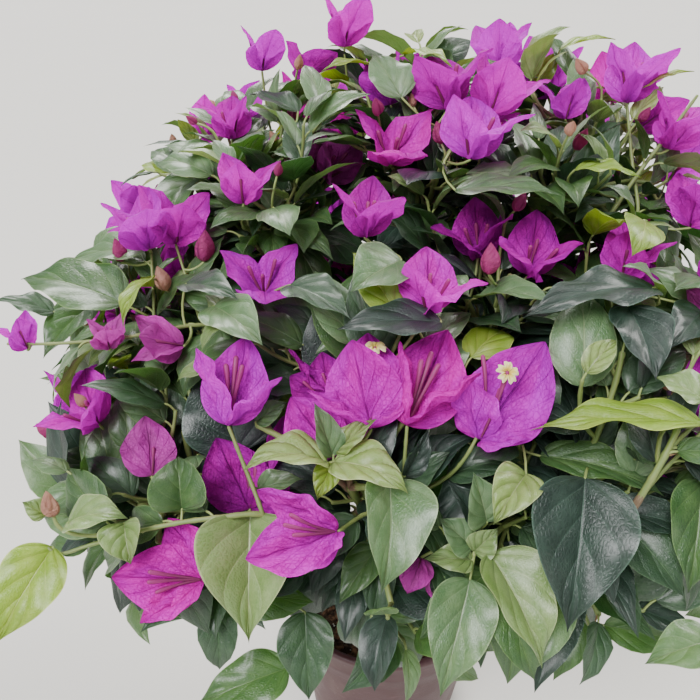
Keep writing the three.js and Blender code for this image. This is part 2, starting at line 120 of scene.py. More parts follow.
# Curves
class Bezier:
    """A quadratic or cubic curve through space."""

    def __init__(self, *points: Sequence[float]) -> None:
        """Take three or four control points."""
        self.points = np.array(points, dtype=float)

    def at(self, share: float | np.ndarray) -> np.ndarray:
        """Evaluate the curve.

        Args:
            share: one share of the parameter, or many.

        Returns:
            The point, or the points.
        """
        degree = len(self.points) - 1
        share = np.asarray(share, dtype=float)
        total = 0.0
        for index, point in enumerate(self.points):
            weight = math.comb(degree, index) * share**index * (1 - share) ** (degree - index)
            total = total + weight[..., None] * point
        return total

    def along(self, share: float) -> np.ndarray:
        """Return the direction of travel at a share."""
        low, high = max(share - 1e-4, 0.0), min(share + 1e-4, 1.0)
        return unit(self.at(high) - self.at(low))

    def length(self) -> float:
        """Return the curve's length."""
        points = self.at(np.linspace(0, 1, 201))
        return float(np.linalg.norm(np.diff(points, axis=0), axis=1).sum())

    def route(self, count: int = 25) -> "Route":
        """Return the curve as a route of evenly read points."""
        return Route(self.at(np.linspace(0, 1, count)))


class Route:
    """A smooth line through many points, read by the share of its length."""

    def __init__(self, points: np.ndarray, rounds: int = 0) -> None:
        """Take the line.

        Args:
            points: the points that it runs through.
            rounds: how often the corners between them are cut.
        """
        line = np.asarray(points, dtype=float)
        for _ in range(rounds):
            cut = np.empty((2 * len(line) - 2, 3))
            cut[0::2] = 0.75 * line[:-1] + 0.25 * line[1:]
            cut[1::2] = 0.25 * line[:-1] + 0.75 * line[1:]
            line = np.vstack([line[:1], cut, line[-1:]])
        steps = np.linalg.norm(np.diff(line, axis=0), axis=1)
        self.line = line
        self.runs = np.concatenate([[0.0], np.cumsum(steps)])

    @property
    def length(self) -> float:
        """Return the route's length."""
        return float(self.runs[-1])

    def at(self, share: float | np.ndarray) -> np.ndarray:
        """Return the point, or the points, at a share of the length."""
        run = np.asarray(share, dtype=float) * self.length
        return np.stack([np.interp(run, self.runs, self.line[:, axis]) for axis in range(3)], axis=-1)

    def along(self, share: float) -> np.ndarray:
        """Return the direction of travel at a share."""
        low, high = max(share - 0.02, 0.0), min(share + 0.02, 1.0)
        return unit(self.at(high) - self.at(low))

    def share_near(self, point: np.ndarray) -> float:
        """Return the share of the length where the route passes nearest to a point."""
        shares = np.linspace(0.0, 1.0, 201)
        return float(shares[np.argmin(np.linalg.norm(self.at(shares) - point, axis=1))])


def rings(route: Route, radii: np.ndarray, sides: int, roll: float = 0.0) -> np.ndarray:
    """Build rings of points along a route.

    Args:
        route: the middle line.
        radii: one radius for each ring, or one row of radii for each ring.
        sides: the points in each ring.
        roll: the angle of the first point round the line.

    Returns:
        Points by ring, by side, by axis.
    """
    count = len(radii)
    shares = np.linspace(0.0, 1.0, count)
    middles = route.at(shares)
    half_step = 0.5 / count
    ahead = route.at(np.minimum(shares + half_step, 1.0)) - route.at(np.maximum(shares - half_step, 0.0))
    right = square_to(ASIDE, unit(ahead[0]))
    angles = roll + np.linspace(0.0, TURN, sides, endpoint=False)
    made = np.empty((count, sides, 3))
    spread = np.asarray(radii, dtype=float).reshape(count, -1)
    for ring in range(count):
        tangent = unit(ahead[ring])
        right = square_to(right, tangent)
        front = cross(tangent, right)
        offsets = np.outer(np.cos(angles), right) + np.outer(np.sin(angles), front)
        made[ring] = middles[ring] + offsets * spread[ring][:, None]
    return made


# Meshes
def sheet_faces(rows: int, columns: int, closed: bool = False) -> np.ndarray:
    """Number the corners of a sheet's faces.

    Args:
        rows: the rows of its points.
        columns: the points in each row.
        closed: whether the last column meets the first, as in a tube.

    Returns:
        Four corners for each face.
    """
    index = np.arange(rows * columns).reshape(rows, columns)
    if closed:
        index = np.hstack([index, index[:, :1]])
    return np.stack([index[:-1, :-1], index[:-1, 1:], index[1:, 1:], index[1:, :-1]], axis=-1).reshape(-1, 4)


class Pile:
    """The points, faces and pattern places of one joined piece."""

    def __init__(self) -> None:
        """Start empty."""
        self.points: list[np.ndarray] = []
        self.faces: list[np.ndarray] = []
        self.patterns: list[np.ndarray] = []
        self.count = 0

    def add_grid(self, grid: np.ndarray, closed: bool = False, pattern: np.ndarray | None = None) -> None:
        """Add a sheet or a tube of four-cornered faces.

        Args:
            grid: points by row, by column, by axis.
            closed: whether the last column meets the first, as in a tube.
            pattern: a place from 0 to 1 for each point, or None for the row and column shares.
        """
        rows, columns = grid.shape[:2]
        if pattern is None:
            down, across = np.meshgrid(np.linspace(0, 1, rows), np.linspace(0, 1, columns), indexing="ij")
            pattern = np.stack([across, down], axis=-1)
        self.points.append(grid.reshape(-1, 3))
        self.faces.append(self.count + sheet_faces(rows, columns, closed))
        self.patterns.append(pattern.reshape(-1, 2))
        self.count += rows * columns

    def add_tube(self, route: Route, radii: np.ndarray, sides: int, roll: float = 0.0) -> None:
        """Add a tube along a route, with a rounded end.

        Args:
            route: the middle line.
            radii: one radius for each ring.
            sides: the points in each ring.
            roll: the angle of the first point round the line.
        """
        made = rings(route, radii, sides, roll)
        tip = made[-1].mean(axis=0)
        ahead = route.along(1.0) * float(np.mean(radii[-1]))
        dome = [tip + (made[-1] - tip) * 0.72 + 0.6 * ahead, tip + (made[-1] - tip) * 0.05 + ahead]
        self.add_grid(np.concatenate([made, np.stack(dome)]), closed=True)

    def to_object(self, name: str, material: bpy.types.Material) -> bpy.types.Object:
        """Make the piece's object.

        Args:
            name: the piece's name.
            material: its finish.

        Returns:
            The object, linked to the scene and riding on the part.
        """
        points = np.concatenate(self.points)
        faces = np.concatenate(self.faces)
        places = np.concatenate(self.patterns)
        mesh = bpy.data.meshes.new(name)
        mesh.vertices.add(len(points))
        mesh.vertices.foreach_set("co", points.astype(np.float32).ravel())
        mesh.loops.add(faces.size)
        mesh.loops.foreach_set("vertex_index", faces.astype(np.int32).ravel())
        mesh.polygons.add(len(faces))
        mesh.polygons.foreach_set("loop_start", np.arange(0, faces.size, 4, dtype=np.int32))
        mesh.polygons.foreach_set("use_smooth", np.ones(len(faces), dtype=bool))
        layer = mesh.uv_layers.new(name=PATTERN)
        layer.uv.foreach_set("vector", places[faces.ravel()].astype(np.float32).ravel())
        mesh.update(calc_edges=True)
        mesh.validate()
        mesh.materials.append(material)
        piece = bpy.data.objects.new(name, mesh)
        bpy.context.scene.collection.objects.link(piece)
        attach(piece, BODY)
        return piece


# Shaders
class Socket:
    """A shader value that takes part in Python expressions."""

    def __init__(self, shader: "Shader", link: bpy.types.NodeSocket) -> None:
        """Wrap one output socket of a shader."""
        self.shader = shader
        self.link = link

    def maths(
        self, operation: str, other: "Socket | float | None" = None, swapped: bool = False
    ) -> "Socket":
        """Return the result of a Math node on this value and, where it has one, another."""
        values = [self] if other is None else [other, self] if swapped else [self, other]
        return self.shader.out("ShaderNodeMath", {"operation": operation}, dict(enumerate(values)))

    def __add__(self, other: "Socket | float") -> "Socket":
        """Return the sum."""
        return self.maths("ADD", other)

    def __sub__(self, other: "Socket | float") -> "Socket":
        """Return the difference."""
        return self.maths("SUBTRACT", other)

    def __rsub__(self, other: "Socket | float") -> "Socket":
        """Return the difference from another value."""
        return self.maths("SUBTRACT", other, swapped=True)

    def __mul__(self, other: "Socket | float") -> "Socket":
        """Return the product."""
        return self.maths("MULTIPLY", other)

    def __pow__(self, other: "Socket | float") -> "Socket":
        """Return the power."""
        return self.maths("POWER", other)

    def __abs__(self) -> "Socket":
        """Return the size without its sign."""
        return self.maths("ABSOLUTE")

    __radd__ = __add__
    __rmul__ = __mul__

    def fraction(self) -> "Socket":
        """Return what stands after the decimal point."""
        return self.maths("FRACT")

    def ramp(self, low: float, high: float) -> "Socket":
        """Return a smooth rise from 0 at low to 1 at high."""
        settings = {"interpolation_type": "SMOOTHSTEP"}
        return self.shader.out("ShaderNodeMapRange", settings, {0: self, 1: low, 2: high})


class Shader:
    """One material's nodes while they are being joined."""

    def __init__(self, name: str) -> None:
        """Start with an empty node tree.

        Args:
            name: the material's name.
        """
        self.material = bpy.data.materials.new(name)
        self.material.use_nodes = True
        self.tree = self.material.node_tree
        self.tree.nodes.clear()

    def node(
        self,
        kind: str,
        settings: Mapping[str, object] | None = None,
        sockets: Mapping[str | int, object] | None = None,
    ) -> bpy.types.Node:
        """Add a node.

        Args:
            kind: the node's type.
            settings: its properties, which are set first. "stops" are a ramp's places and colours.
            sockets: values or links for its inputs, by name or index.

        Returns:
            The node.
        """
        made = self.tree.nodes.new(kind)
        for name, value in (settings or {}).items():
            if name == "stops":
                while len(made.color_ramp.elements) < len(value):
                    made.color_ramp.elements.new(1.0)
                for element, (place, colour) in zip(made.color_ramp.elements, value):
                    element.position = place
                    element.color = colour
            else:
                setattr(made, name, value)
        for key, value in (sockets or {}).items():
            if isinstance(value, Socket):
                self.tree.links.new(value.link, made.inputs[key])
            else:
                made.inputs[key].default_value = value
        return made

    def out(
        self,
        kind: str,
        settings: Mapping[str, object] | None = None,
        sockets: Mapping[str | int, object] | None = None,
        index: int | str = 0,
    ) -> Socket:
        """Add a node, as node does, and return one of its outputs."""
        return Socket(self, self.node(kind, settings, sockets).outputs[index])

    def blend(self, share: Socket | float, first: object, second: object) -> Socket:
        """Return two colours mixed, with a share of the second."""
        return self.out("ShaderNodeMix", {"data_type": "RGBA"}, {0: share, 6: first, 7: second}, 2)

    def layered(self, base: object, *layers: tuple[Socket, str]) -> object:
        """Lay colours over one another.

        Args:
            base: the colour at the bottom, or a link.
            layers: how much of each further colour, and its hex code.

        Returns:
            The mixed colour.
        """
        for share, code in layers:
            base = self.blend(share, base, linear(code))
        return base

    def pattern(self) -> tuple[Socket, Socket, Socket]:
        """Return the place on the pattern as a vector, across and along."""
        place = self.out("ShaderNodeUVMap", {"uv_map": PATTERN})
        parts = self.node("ShaderNodeSeparateXYZ", {}, {0: place})
        return place, Socket(self, parts.outputs[0]), Socket(self, parts.outputs[1])

    def space(self) -> Socket:
        """Return the place in space as a vector, in metres."""
        return self.out("ShaderNodeTexCoord", index="Object")

    def stretched(self, place: Socket, scale: Sequence[float]) -> Socket:
        """Return a place with each axis scaled."""
        return self.out("ShaderNodeVectorMath", {"operation": "MULTIPLY"}, {0: place, 1: tuple(scale)})

    def grain(self, place: Socket, scale: float, detail: float = 3.0, rough: float = 0.55) -> Socket:
        """Return a noise value at a place."""
        sockets = {"Vector": place, "Scale": scale, "Detail": detail, "Roughness": rough}
        return self.out("ShaderNodeTexNoise", {}, sockets)

    def cells(self, place: Socket, scale: float, feature: str = "DISTANCE_TO_EDGE") -> Socket:
        """Return a cell pattern's distance at a place."""
        settings = {"feature": feature}
        return self.out("ShaderNodeTexVoronoi", settings, {"Vector": place, "Scale": scale})

    def relief(self, height: Socket, distance: float, strength: float = 1.0) -> Socket:
        """Return a normal bumped by a height from 0 to 1, where 1 stands a distance high in metres."""
        return self.out("ShaderNodeBump", {}, {"Strength": strength, "Distance": distance, "Height": height})

    def close(
        self, surface: Mapping[str, object], glow: Sequence[float] | None = None, share: float = 0.0
    ) -> bpy.types.Material:
        """Finish the material.

        Args:
            surface: values or links for the main shader's inputs.
            glow: the colour of the light that comes through a thin blade, or None for none.
            share: how much of the surface lets light through.

        Returns:
            The material.
        """
        shaded = self.out("ShaderNodeBsdfPrincipled", {}, surface)
        if glow is not None:
            sockets = {"Color": glow, "Normal": surface["Normal"]}
            through = self.out("ShaderNodeBsdfTranslucent", {}, sockets)
            shaded = self.out("ShaderNodeMixShader", {}, {0: share, 1: shaded, 2: through})
        self.node("ShaderNodeOutputMaterial", {}, {0: shaded})
        return self.material


# Finishes
VEINS = 5.4  # side veins on each side of a leaf's midrib
VEIN_CROWDING = 1.12  # how much closer they stand towards the tip
VEIN_SLANT = 1.7  # how far they run forward, in vein steps
VEIN_SWEEP = 1.2  # how much they bend
VEIN_SHIFT = 0.45  # how far the two sides are out of step


@dataclass(frozen=True)
class LeafFinish:
    """A waxy leaf: quilted between its side veins, with a pale midrib and a fine pale margin."""

    name: str
    blade: str
    vein: str
    glow: str
    wax: float = 0.32
    rough: float = 0.42
    quilt: float = 0.5

    def build(self) -> bpy.types.Material:
        """Return the material."""
        shader = Shader(self.name)
        place, across, along = shader.pattern()
        side = abs(across * 2.0 - 1.0)
        far_half = across.ramp(0.499, 0.501)
        phase = (along ** VEIN_CROWDING) * VEINS - (side ** VEIN_SWEEP) * VEIN_SLANT + far_half * VEIN_SHIFT
        gap = abs(phase.fraction() * 2.0 - 1.0)
        vein = gap.ramp(0.88, 0.99) * side.ramp(1.0, 0.5)
        midrib = side.ramp(0.06, 0.012)
        margin = side.ramp(0.955, 0.995)
        mesh = shader.cells(shader.stretched(place, (30.0, 44.0, 1.0)), 1.0)
        blotch = shader.grain(shader.stretched(place, (3.0, 5.0, 1.0)), 1.0, 4.0)
        cloudy, netted = blotch.ramp(0.3, 0.75) * 0.3, mesh.ramp(0.12, 0.0) * 0.1
        pale = (cloudy, vein * 0.24, netted, midrib * 0.6, margin * 0.65)
        base = shader.layered(linear(self.blade), *[(share, self.vein) for share in pale])
        swell = 1.0 - gap ** 3.0
        height = swell * self.quilt + mesh.ramp(0.0, 0.3) * 0.14 + blotch * 0.3 - midrib * 0.45
        surface = {
            "Base Color": base,
            "Roughness": self.rough + blotch * 0.14 - vein * 0.05,
            "Specular IOR Level": 0.55,
            "Coat Weight": self.wax,
            "Coat Roughness": 0.26,
            "Normal": shader.relief(height, 1.3 * MM, 0.8),
        }
        return shader.close(surface, linear(self.glow), 0.25)


@dataclass(frozen=True)
class BractFinish:
    """A papery bract: thin, a little crumpled, with a net of fine veins and a darker midrib. Its raised
    crumples and its edge are tinted towards the light-through colour, a painted glow and a painted rim light.
    """

    name: str
    blade: str
    vein: str
    foot: str
    glow: str
    flush: str

    def build(self) -> bpy.types.Material:
        """Return the material."""
        shader = Shader(self.name)
        place, across, along = shader.pattern()
        side = abs(across * 2.0 - 1.0)
        phase = along * 6.0 - (side ** 0.9) * 2.6
        gap = abs(phase.fraction() * 2.0 - 1.0)
        branch = gap.ramp(0.82, 0.99)
        crumple = shader.grain(shader.stretched(place, (2.6, 3.2, 1.0)), 1.0, 5.0, 0.6)
        wander = shader.out("ShaderNodeMix", {"data_type": "VECTOR"}, {0: 0.06, 4: place, 5: crumple}, 1)
        net = shader.cells(shader.stretched(wander, (24.0, 30.0, 1.0)), 1.0)
        fine = net.ramp(0.1, 0.0)
        crinkle = shader.grain(shader.stretched(wander, (9.0, 17.0, 1.0)), 1.0, 3.0)
        midrib = side.ramp(0.06, 0.01)
        wash = shader.grain(shader.stretched(place, (1.7, 1.3, 1.0)), 1.0, 2.0)
        base = shader.layered(
            linear(self.blade),
            (wash.ramp(0.38, 0.62) * 0.75, self.flush),
            # Painted glow: the raised parts of the crumple are tinted towards the light-through colour.
            (crumple.ramp(0.4, 0.68) * 0.45, self.glow),
            (fine * 0.12 + branch * 0.1, self.vein),
            (midrib * 0.65, self.vein),
            (along.ramp(0.16, 0.0) * 0.5, self.foot),
            # Painted rim light: the outermost sliver of the bract is lightened towards the light-through
            # colour.
            (side.ramp(0.95, 0.99) * 0.5, self.glow),
        )
        height = crumple * 0.7 + crinkle * 0.32 - fine * 0.08 - branch * 0.14 - midrib * 0.35
        surface = {
            "Base Color": base,
            "Roughness": 0.5 + crumple * 0.16,
            "Specular IOR Level": 0.14,
            "Normal": shader.relief(height, 3.8 * MM, 1.0),
        }
        return shader.close(surface, linear(self.glow), 0.42)


@dataclass(frozen=True)
class StemFinish:
    """A young stem or stalk: green, with fine stripes along it and a blush on one side."""

    name: str
    skin: str
    stripe: str
    rough: float = 0.45

    def build(self) -> bpy.types.Material:
        """Return the material."""
        shader = Shader(self.name)
        place, across, _ = shader.pattern()
        stripes = shader.grain(shader.stretched(place, (9.0, 3.0, 1.0)), 1.0, 4.0)
        blush = abs(across * 2.0 - 1.0).ramp(0.35, 0.9)
        layers = (stripes.ramp(0.4, 0.7) * 0.6, self.stripe), (blush * 0.3, self.stripe)
        base = shader.layered(linear(self.skin), *layers)
        surface = {
            "Base Color": base,
            "Roughness": self.rough + stripes * 0.15,
            "Normal": shader.relief(stripes, 0.3 * MM, 0.6),
        }
        return shader.close(surface)


@dataclass(frozen=True)
class BarkFinish:
    """Grey-brown bark: long furrows, corky flecks and lichen-grey patches."""

    name: str
    ridge: str
    furrow: str
    fleck: str

    def build(self) -> bpy.types.Material:
        """Return the material."""
        shader = Shader(self.name)
        place = shader.space()
        furrows = shader.grain(shader.stretched(place, (420.0, 420.0, 70.0)), 1.0, 6.0, 0.62)
        flecks = shader.cells(shader.stretched(place, (520.0, 520.0, 260.0)), 1.0, "F1")
        patches = shader.grain(place, 45.0, 3.0)
        base = shader.layered(
            linear(self.furrow),
            (furrows.ramp(0.38, 0.62), self.ridge),
            (flecks.ramp(0.22, 0.1) * 0.7, self.fleck),
            (patches.ramp(0.52, 0.72) * 0.4, self.fleck),
        )
        height = furrows * 0.7 + flecks.ramp(0.3, 0.1) * 0.3
        surface = {
            "Base Color": base,
            "Roughness": 0.8 + patches * 0.12,
            "Specular IOR Level": 0.25,
            "Normal": shader.relief(height, 0.9 * MM, 0.9),
        }
        return shader.close(surface)


@dataclass(frozen=True)
class WaxyFinish:
    """A small fleshy part, such as a flower tube, a star or a bud, with ribs along it."""

    name: str
    skin: str
    tip: str
    glow: str

    def build(self) -> bpy.types.Material:
        """Return the material."""
        shader = Shader(self.name)
        place, _, along = shader.pattern()
        ribs = shader.grain(shader.stretched(place, (14.0, 2.5, 1.0)), 1.0, 3.0)
        layers = (along.ramp(0.25, 0.95), self.tip), (ribs.ramp(0.4, 0.7) * 0.35, self.glow)
        base = shader.layered(linear(self.skin), *layers)
        surface = {
            "Base Color": base,
            "Roughness": 0.46 + ribs * 0.12,
            "Normal": shader.relief(ribs, 0.3 * MM, 0.7),
        }
        return shader.close(surface, linear(self.glow), 0.18)


@dataclass(frozen=True)
class PlasticFinish:
    """Moulded nursery plastic: dull, faintly pebbled, scuffed, with dust and dried splashes."""

    name: str
    body: str
    scuff: str
    dust: str

    def build(self) -> bpy.types.Material:
        """Return the material."""
        shader = Shader(self.name)
        place = shader.space()
        pebble = shader.grain(place, 1400.0, 2.0)
        scuffs = shader.grain(shader.stretched(place, (60.0, 60.0, 420.0)), 1.0, 5.0)
        dust = shader.grain(place, 28.0, 5.0, 0.6)
        spots = shader.cells(place, 170.0, "F1")
        base = shader.layered(
            linear(self.body),
            (scuffs.ramp(0.56, 0.72) * 0.35, self.scuff),
            (dust.ramp(0.5, 0.78) * 0.4, self.dust),
            (spots.ramp(0.13, 0.06) * dust.ramp(0.45, 0.7) * 0.6, self.dust),
        )
        surface = {
            "Base Color": base,
            "Roughness": 0.4 + dust.ramp(0.4, 0.8) * 0.3 + scuffs * 0.08,
            "Normal": shader.relief(pebble * 0.5 + scuffs * 0.5, 0.25 * MM, 0.7),
        }
        return shader.close(surface)


@dataclass(frozen=True)
class CrumbFinish:
    """Loose earthy stuff, such as potting mix, bark chips or pale mineral grains."""

    name: str
    dark: str
    light: str
    grain_scale: float
    rough: float = 0.92

    def build(self) -> bpy.types.Material:
        """Return the material."""
        shader = Shader(self.name)
        place = shader.space()
        crumbs = shader.grain(place, self.grain_scale, 6.0, 0.65)
        lumps = shader.cells(place, 0.6 * self.grain_scale, "F1")
        base = shader.blend(crumbs.ramp(0.38, 0.66), linear(self.dark), linear(self.light))
        surface = {
            "Base Color": base,
            "Roughness": self.rough,
            "Specular IOR Level": 0.2,
            "Normal": shader.relief(crumbs * 0.7 + lumps * 0.3, 1.4 * MM, 1.0),
        }
        return shader.close(surface)


@dataclass(frozen=True)
class StudioFinish:
    """The plain pale floor."""

    name: str = "studio_floor"
    tone: str = "#c9c7c1"
    cloud: str = "#bdbbb5"

    def build(self) -> bpy.types.Material:
        """Return the material."""
        shader = Shader(self.name)
        clouds = shader.grain(shader.space(), 1.2, 2.0)
        base = shader.layered(linear(self.tone), (clouds * 0.3, self.cloud))
        return shader.close({"Base Color": base, "Roughness": 0.85, "Specular IOR Level": 0.15})


class LeafTint(Enum):
    """The leaf's colour by its age, from the oldest to the youngest."""

    OLD = LeafFinish("leaf_old", "#1b2b24", "#54705f", "#2f5430", 0.42, 0.38)
    DEEP = LeafFinish("leaf_deep", "#28442c", "#64845c", "#3e6e28", 0.58, 0.35)
    FULL = LeafFinish("leaf_full", "#35582e", "#7e9e5c", "#5a8c30", 0.62, 0.34)
    SAGE = LeafFinish("leaf_sage", "#52764a", "#a8be8c", "#7ca23c", 0.6, 0.35)
    LIGHT = LeafFinish("leaf_light", "#6e8e4c", "#c8d49c", "#98b844", 0.54, 0.37, 0.7)
    YOUNG = LeafFinish("leaf_young", "#809e4c", "#d6dea4", "#acc438", 0.46, 0.4, 1.1)
    LIME = LeafFinish("leaf_lime", "#769a22", "#ccd874", "#acce1c", 0.46, 0.39, 0.8)


class BractTint(Enum):
    """The bract's colour, from the deepest to the palest, and the colours of the buds."""

    DEEP = BractFinish("bract_deep", "#b400ac", "#740068", "#7a2048", "#e400dc", "#c400a4")
    BRIGHT = BractFinish("bract_bright", "#dc00d6", "#8c0084", "#982858", "#ff00f4", "#e000bc")
    HOT = BractFinish("bract_hot", "#e400c0", "#98007c", "#a03050", "#ff00e0", "#e200dc")
    CLEAR = BractFinish("bract_clear", "#d200dc", "#8c0098", "#a04078", "#fc10ff", "#dc00c4")
    PALE = BractFinish("bract_pale", "#d440be", "#983080", "#a8766c", "#ec54d4", "#c45aac")
    BUD = BractFinish("bract_bud", "#c44c94", "#903060", "#a87460", "#e06aa8", "#b85084")
    PEACH = BractFinish("bract_peach", "#e6b49c", "#c08478", "#a8b070", "#f0c8ac", "#e09c94")


class Small(Enum):
    """The finishes of the small parts of a shoot."""

    STALK = StemFinish("green_stalk", "#7f9252", "#a3ac6a")
    SHOOT = StemFinish("green_shoot", "#6f8448", "#8b8a52")
    WOOD = StemFinish("brown_twig", "#6a5742", "#8c7a60", 0.72)
    # The tube's dark skin is partly its own dark magenta and partly painted shade.
    TUBE = WaxyFinish("flower_tube", "#702850", "#982a70", "#c04890")
    STAR = WaxyFinish("flower_star", "#d8c24c", "#f4ecae", "#f6efb4")
    THORN = StemFinish("thorn", "#7c6448", "#a08058", 0.5)


# The plant's framework: the same rule and sizes as the part's solids
@dataclass(frozen=True)
class MassRow:
    """Where one mass of foliage lies, and how its stem and twigs grow."""

    name: str
    bearing: float
    out: float
    up: float
    run: float
    twigs: int
    joins: float
    shoots: tuple[tuple[float, float, float], ...] = ()


MASS_ROWS = (
    MassRow("front_left", 224, 0.87, 0.4, 62, 6, 218,
            ((-125, -158, 333), (-139, -109, 362), (-93, -156, 252), (-178, -120, 300))),
    MassRow("front_middle", 256, 0.64, 0.486, 48, 4, 172,
            ((-80, -118, 388), (-32, -114, 398), (8, -113, 400), (-54, -158, 354),
             (-62, -140, 268), (-8, -150, 368))),
    MassRow("front_right", 298, 0.7, 0.43, 52, 5, 206,
            ((48, -116, 397), (31, -160, 338), (96, -124, 356), (126, -140, 402), (110, -150, 275))),
    MassRow("left", 180, 0.75, 0.47, 62, 9, 196),
    MassRow("right", 354, 0.72, 0.5, 62, 9, 188),
    MassRow("back_left", 133, 0.8, 0.5, 58, 9, 214),
    MassRow("back_middle", 88, 0.76, 0.44, 52, 9, 180),
    MassRow("back_right", 46, 0.82, 0.5, 58, 9, 230),
    MassRow("top_left", 148, 0.52, 0.72, 58, 9, 252),
    MassRow("top_middle", 84, 0.36, 0.77, 62, 9, 284),
    MassRow("top_right", 30, 0.58, 0.75, 62, 9, 266),
    MassRow("heart", 318, 0.17, 0.43, 34, 9, 240),
)


@dataclass(frozen=True)
class PotSizes:
    """The pot's sizes."""

    height: float = 145 * MM
    rim_radius: float = 85 * MM
    foot_radius: float = 62 * MM
    wall: float = 2.6 * MM
    floor: float = 3.5 * MM
    band_height: float = 22 * MM
    band_proud: float = 3.2 * MM
    ledge_height: float = 3 * MM
    drains: int = 6
    drain_radius: float = 5 * MM
    drain_circle: float = 40 * MM
    soil_below_rim: float = 13 * MM
    soil_crown: float = 3 * MM

    def wall_at(self, height: float) -> float:
        """Return the wall's outer radius at a height."""
        slope = (self.rim_radius - self.band_proud - self.foot_radius) / self.height
        return self.foot_radius + slope * height

    @property
    def soil_top(self) -> float:
        """Return the height of the potting mix."""
        return self.height - self.soil_below_rim


@dataclass(frozen=True)
class CrownSizes:
    """The crown's outline: widest at its waist, higher at the back and the right."""

    middle: tuple[float, float] = (10 * MM, 5 * MM)
    half_width: float = 245 * MM
    half_depth: float = 216 * MM
    waist: float = 335 * MM
    rise: float = 190 * MM
    sink: float = 128 * MM
    tilt_right: float = 0.14
    tilt_back: float = 0.6
    squareness: float = 2.4
    low: float = 200 * MM
    high: float = 560 * MM
    heart: float = 300 * MM

    def share(self, points: np.ndarray) -> np.ndarray:
        """Tell how far out points lie.

        Args:
            points: points by axis.

        Returns:
            0 at the waist's middle and 1 at the outline.
        """
        right = (points[..., 0] - self.middle[0]) / self.half_width
        back = (points[..., 1] - self.middle[1]) / self.half_depth
        height = points[..., 2] - self.waist
        tallest = self.rise * np.maximum(0.3, 1 + self.tilt_right * right + self.tilt_back * back)
        up = height / np.where(height > 0, tallest, self.sink)
        total = sum(np.abs(reach) ** self.squareness for reach in (right, back, up))
        return total ** (1 / self.squareness)


@dataclass(frozen=True)
class LimbSizes:
    """The radii and habits of the trunk, boughs, stems and twigs."""

    trunk_tip_height: float = 292 * MM
    trunk_foot: float = 9.5 * MM
    trunk_tip: float = 4.6 * MM
    lean: tuple[float, float] = (9 * MM, 7 * MM)
    sway: float = 5 * MM
    flare: float = 7.5 * MM
    flare_height: float = 11 * MM
    lobes: int = 5
    lobe_depth: float = 0.2
    bough: tuple[float, float] = (4.4 * MM, 2.7 * MM)
    bough_share: float = 0.6
    bough_elbow: tuple[float, float] = (0.4, 0.68)
    stem: tuple[float, float] = (3.2 * MM, 2.0 * MM)
    twig: tuple[float, float] = (1.9 * MM, 1.5 * MM)
    gap: float = 0.3 * MM


@dataclass
class Mass:
    """One mass of foliage with its place, its bough and its stem."""

    row: MassRow
    centre: np.ndarray
    bough: Bezier
    stem: Bezier


@dataclass
class Shoot:
    """A limb that bears leaves.

    It has its middle line, the radii of its foot and tip, its order from the bough, whether blooms grow at
    its end, whether the photograph places it, and the share of its length up to which something grows on it.
    """

    route: Route
    foot: float
    tip: float
    order: int
    flowers: bool
    placed: bool = False
    last: float = 0.0

    def bear(self, share: float) -> None:
        """Note that something grows at a share of the length, so that the limb reaches so far."""
        self.last = max(self.last, share)


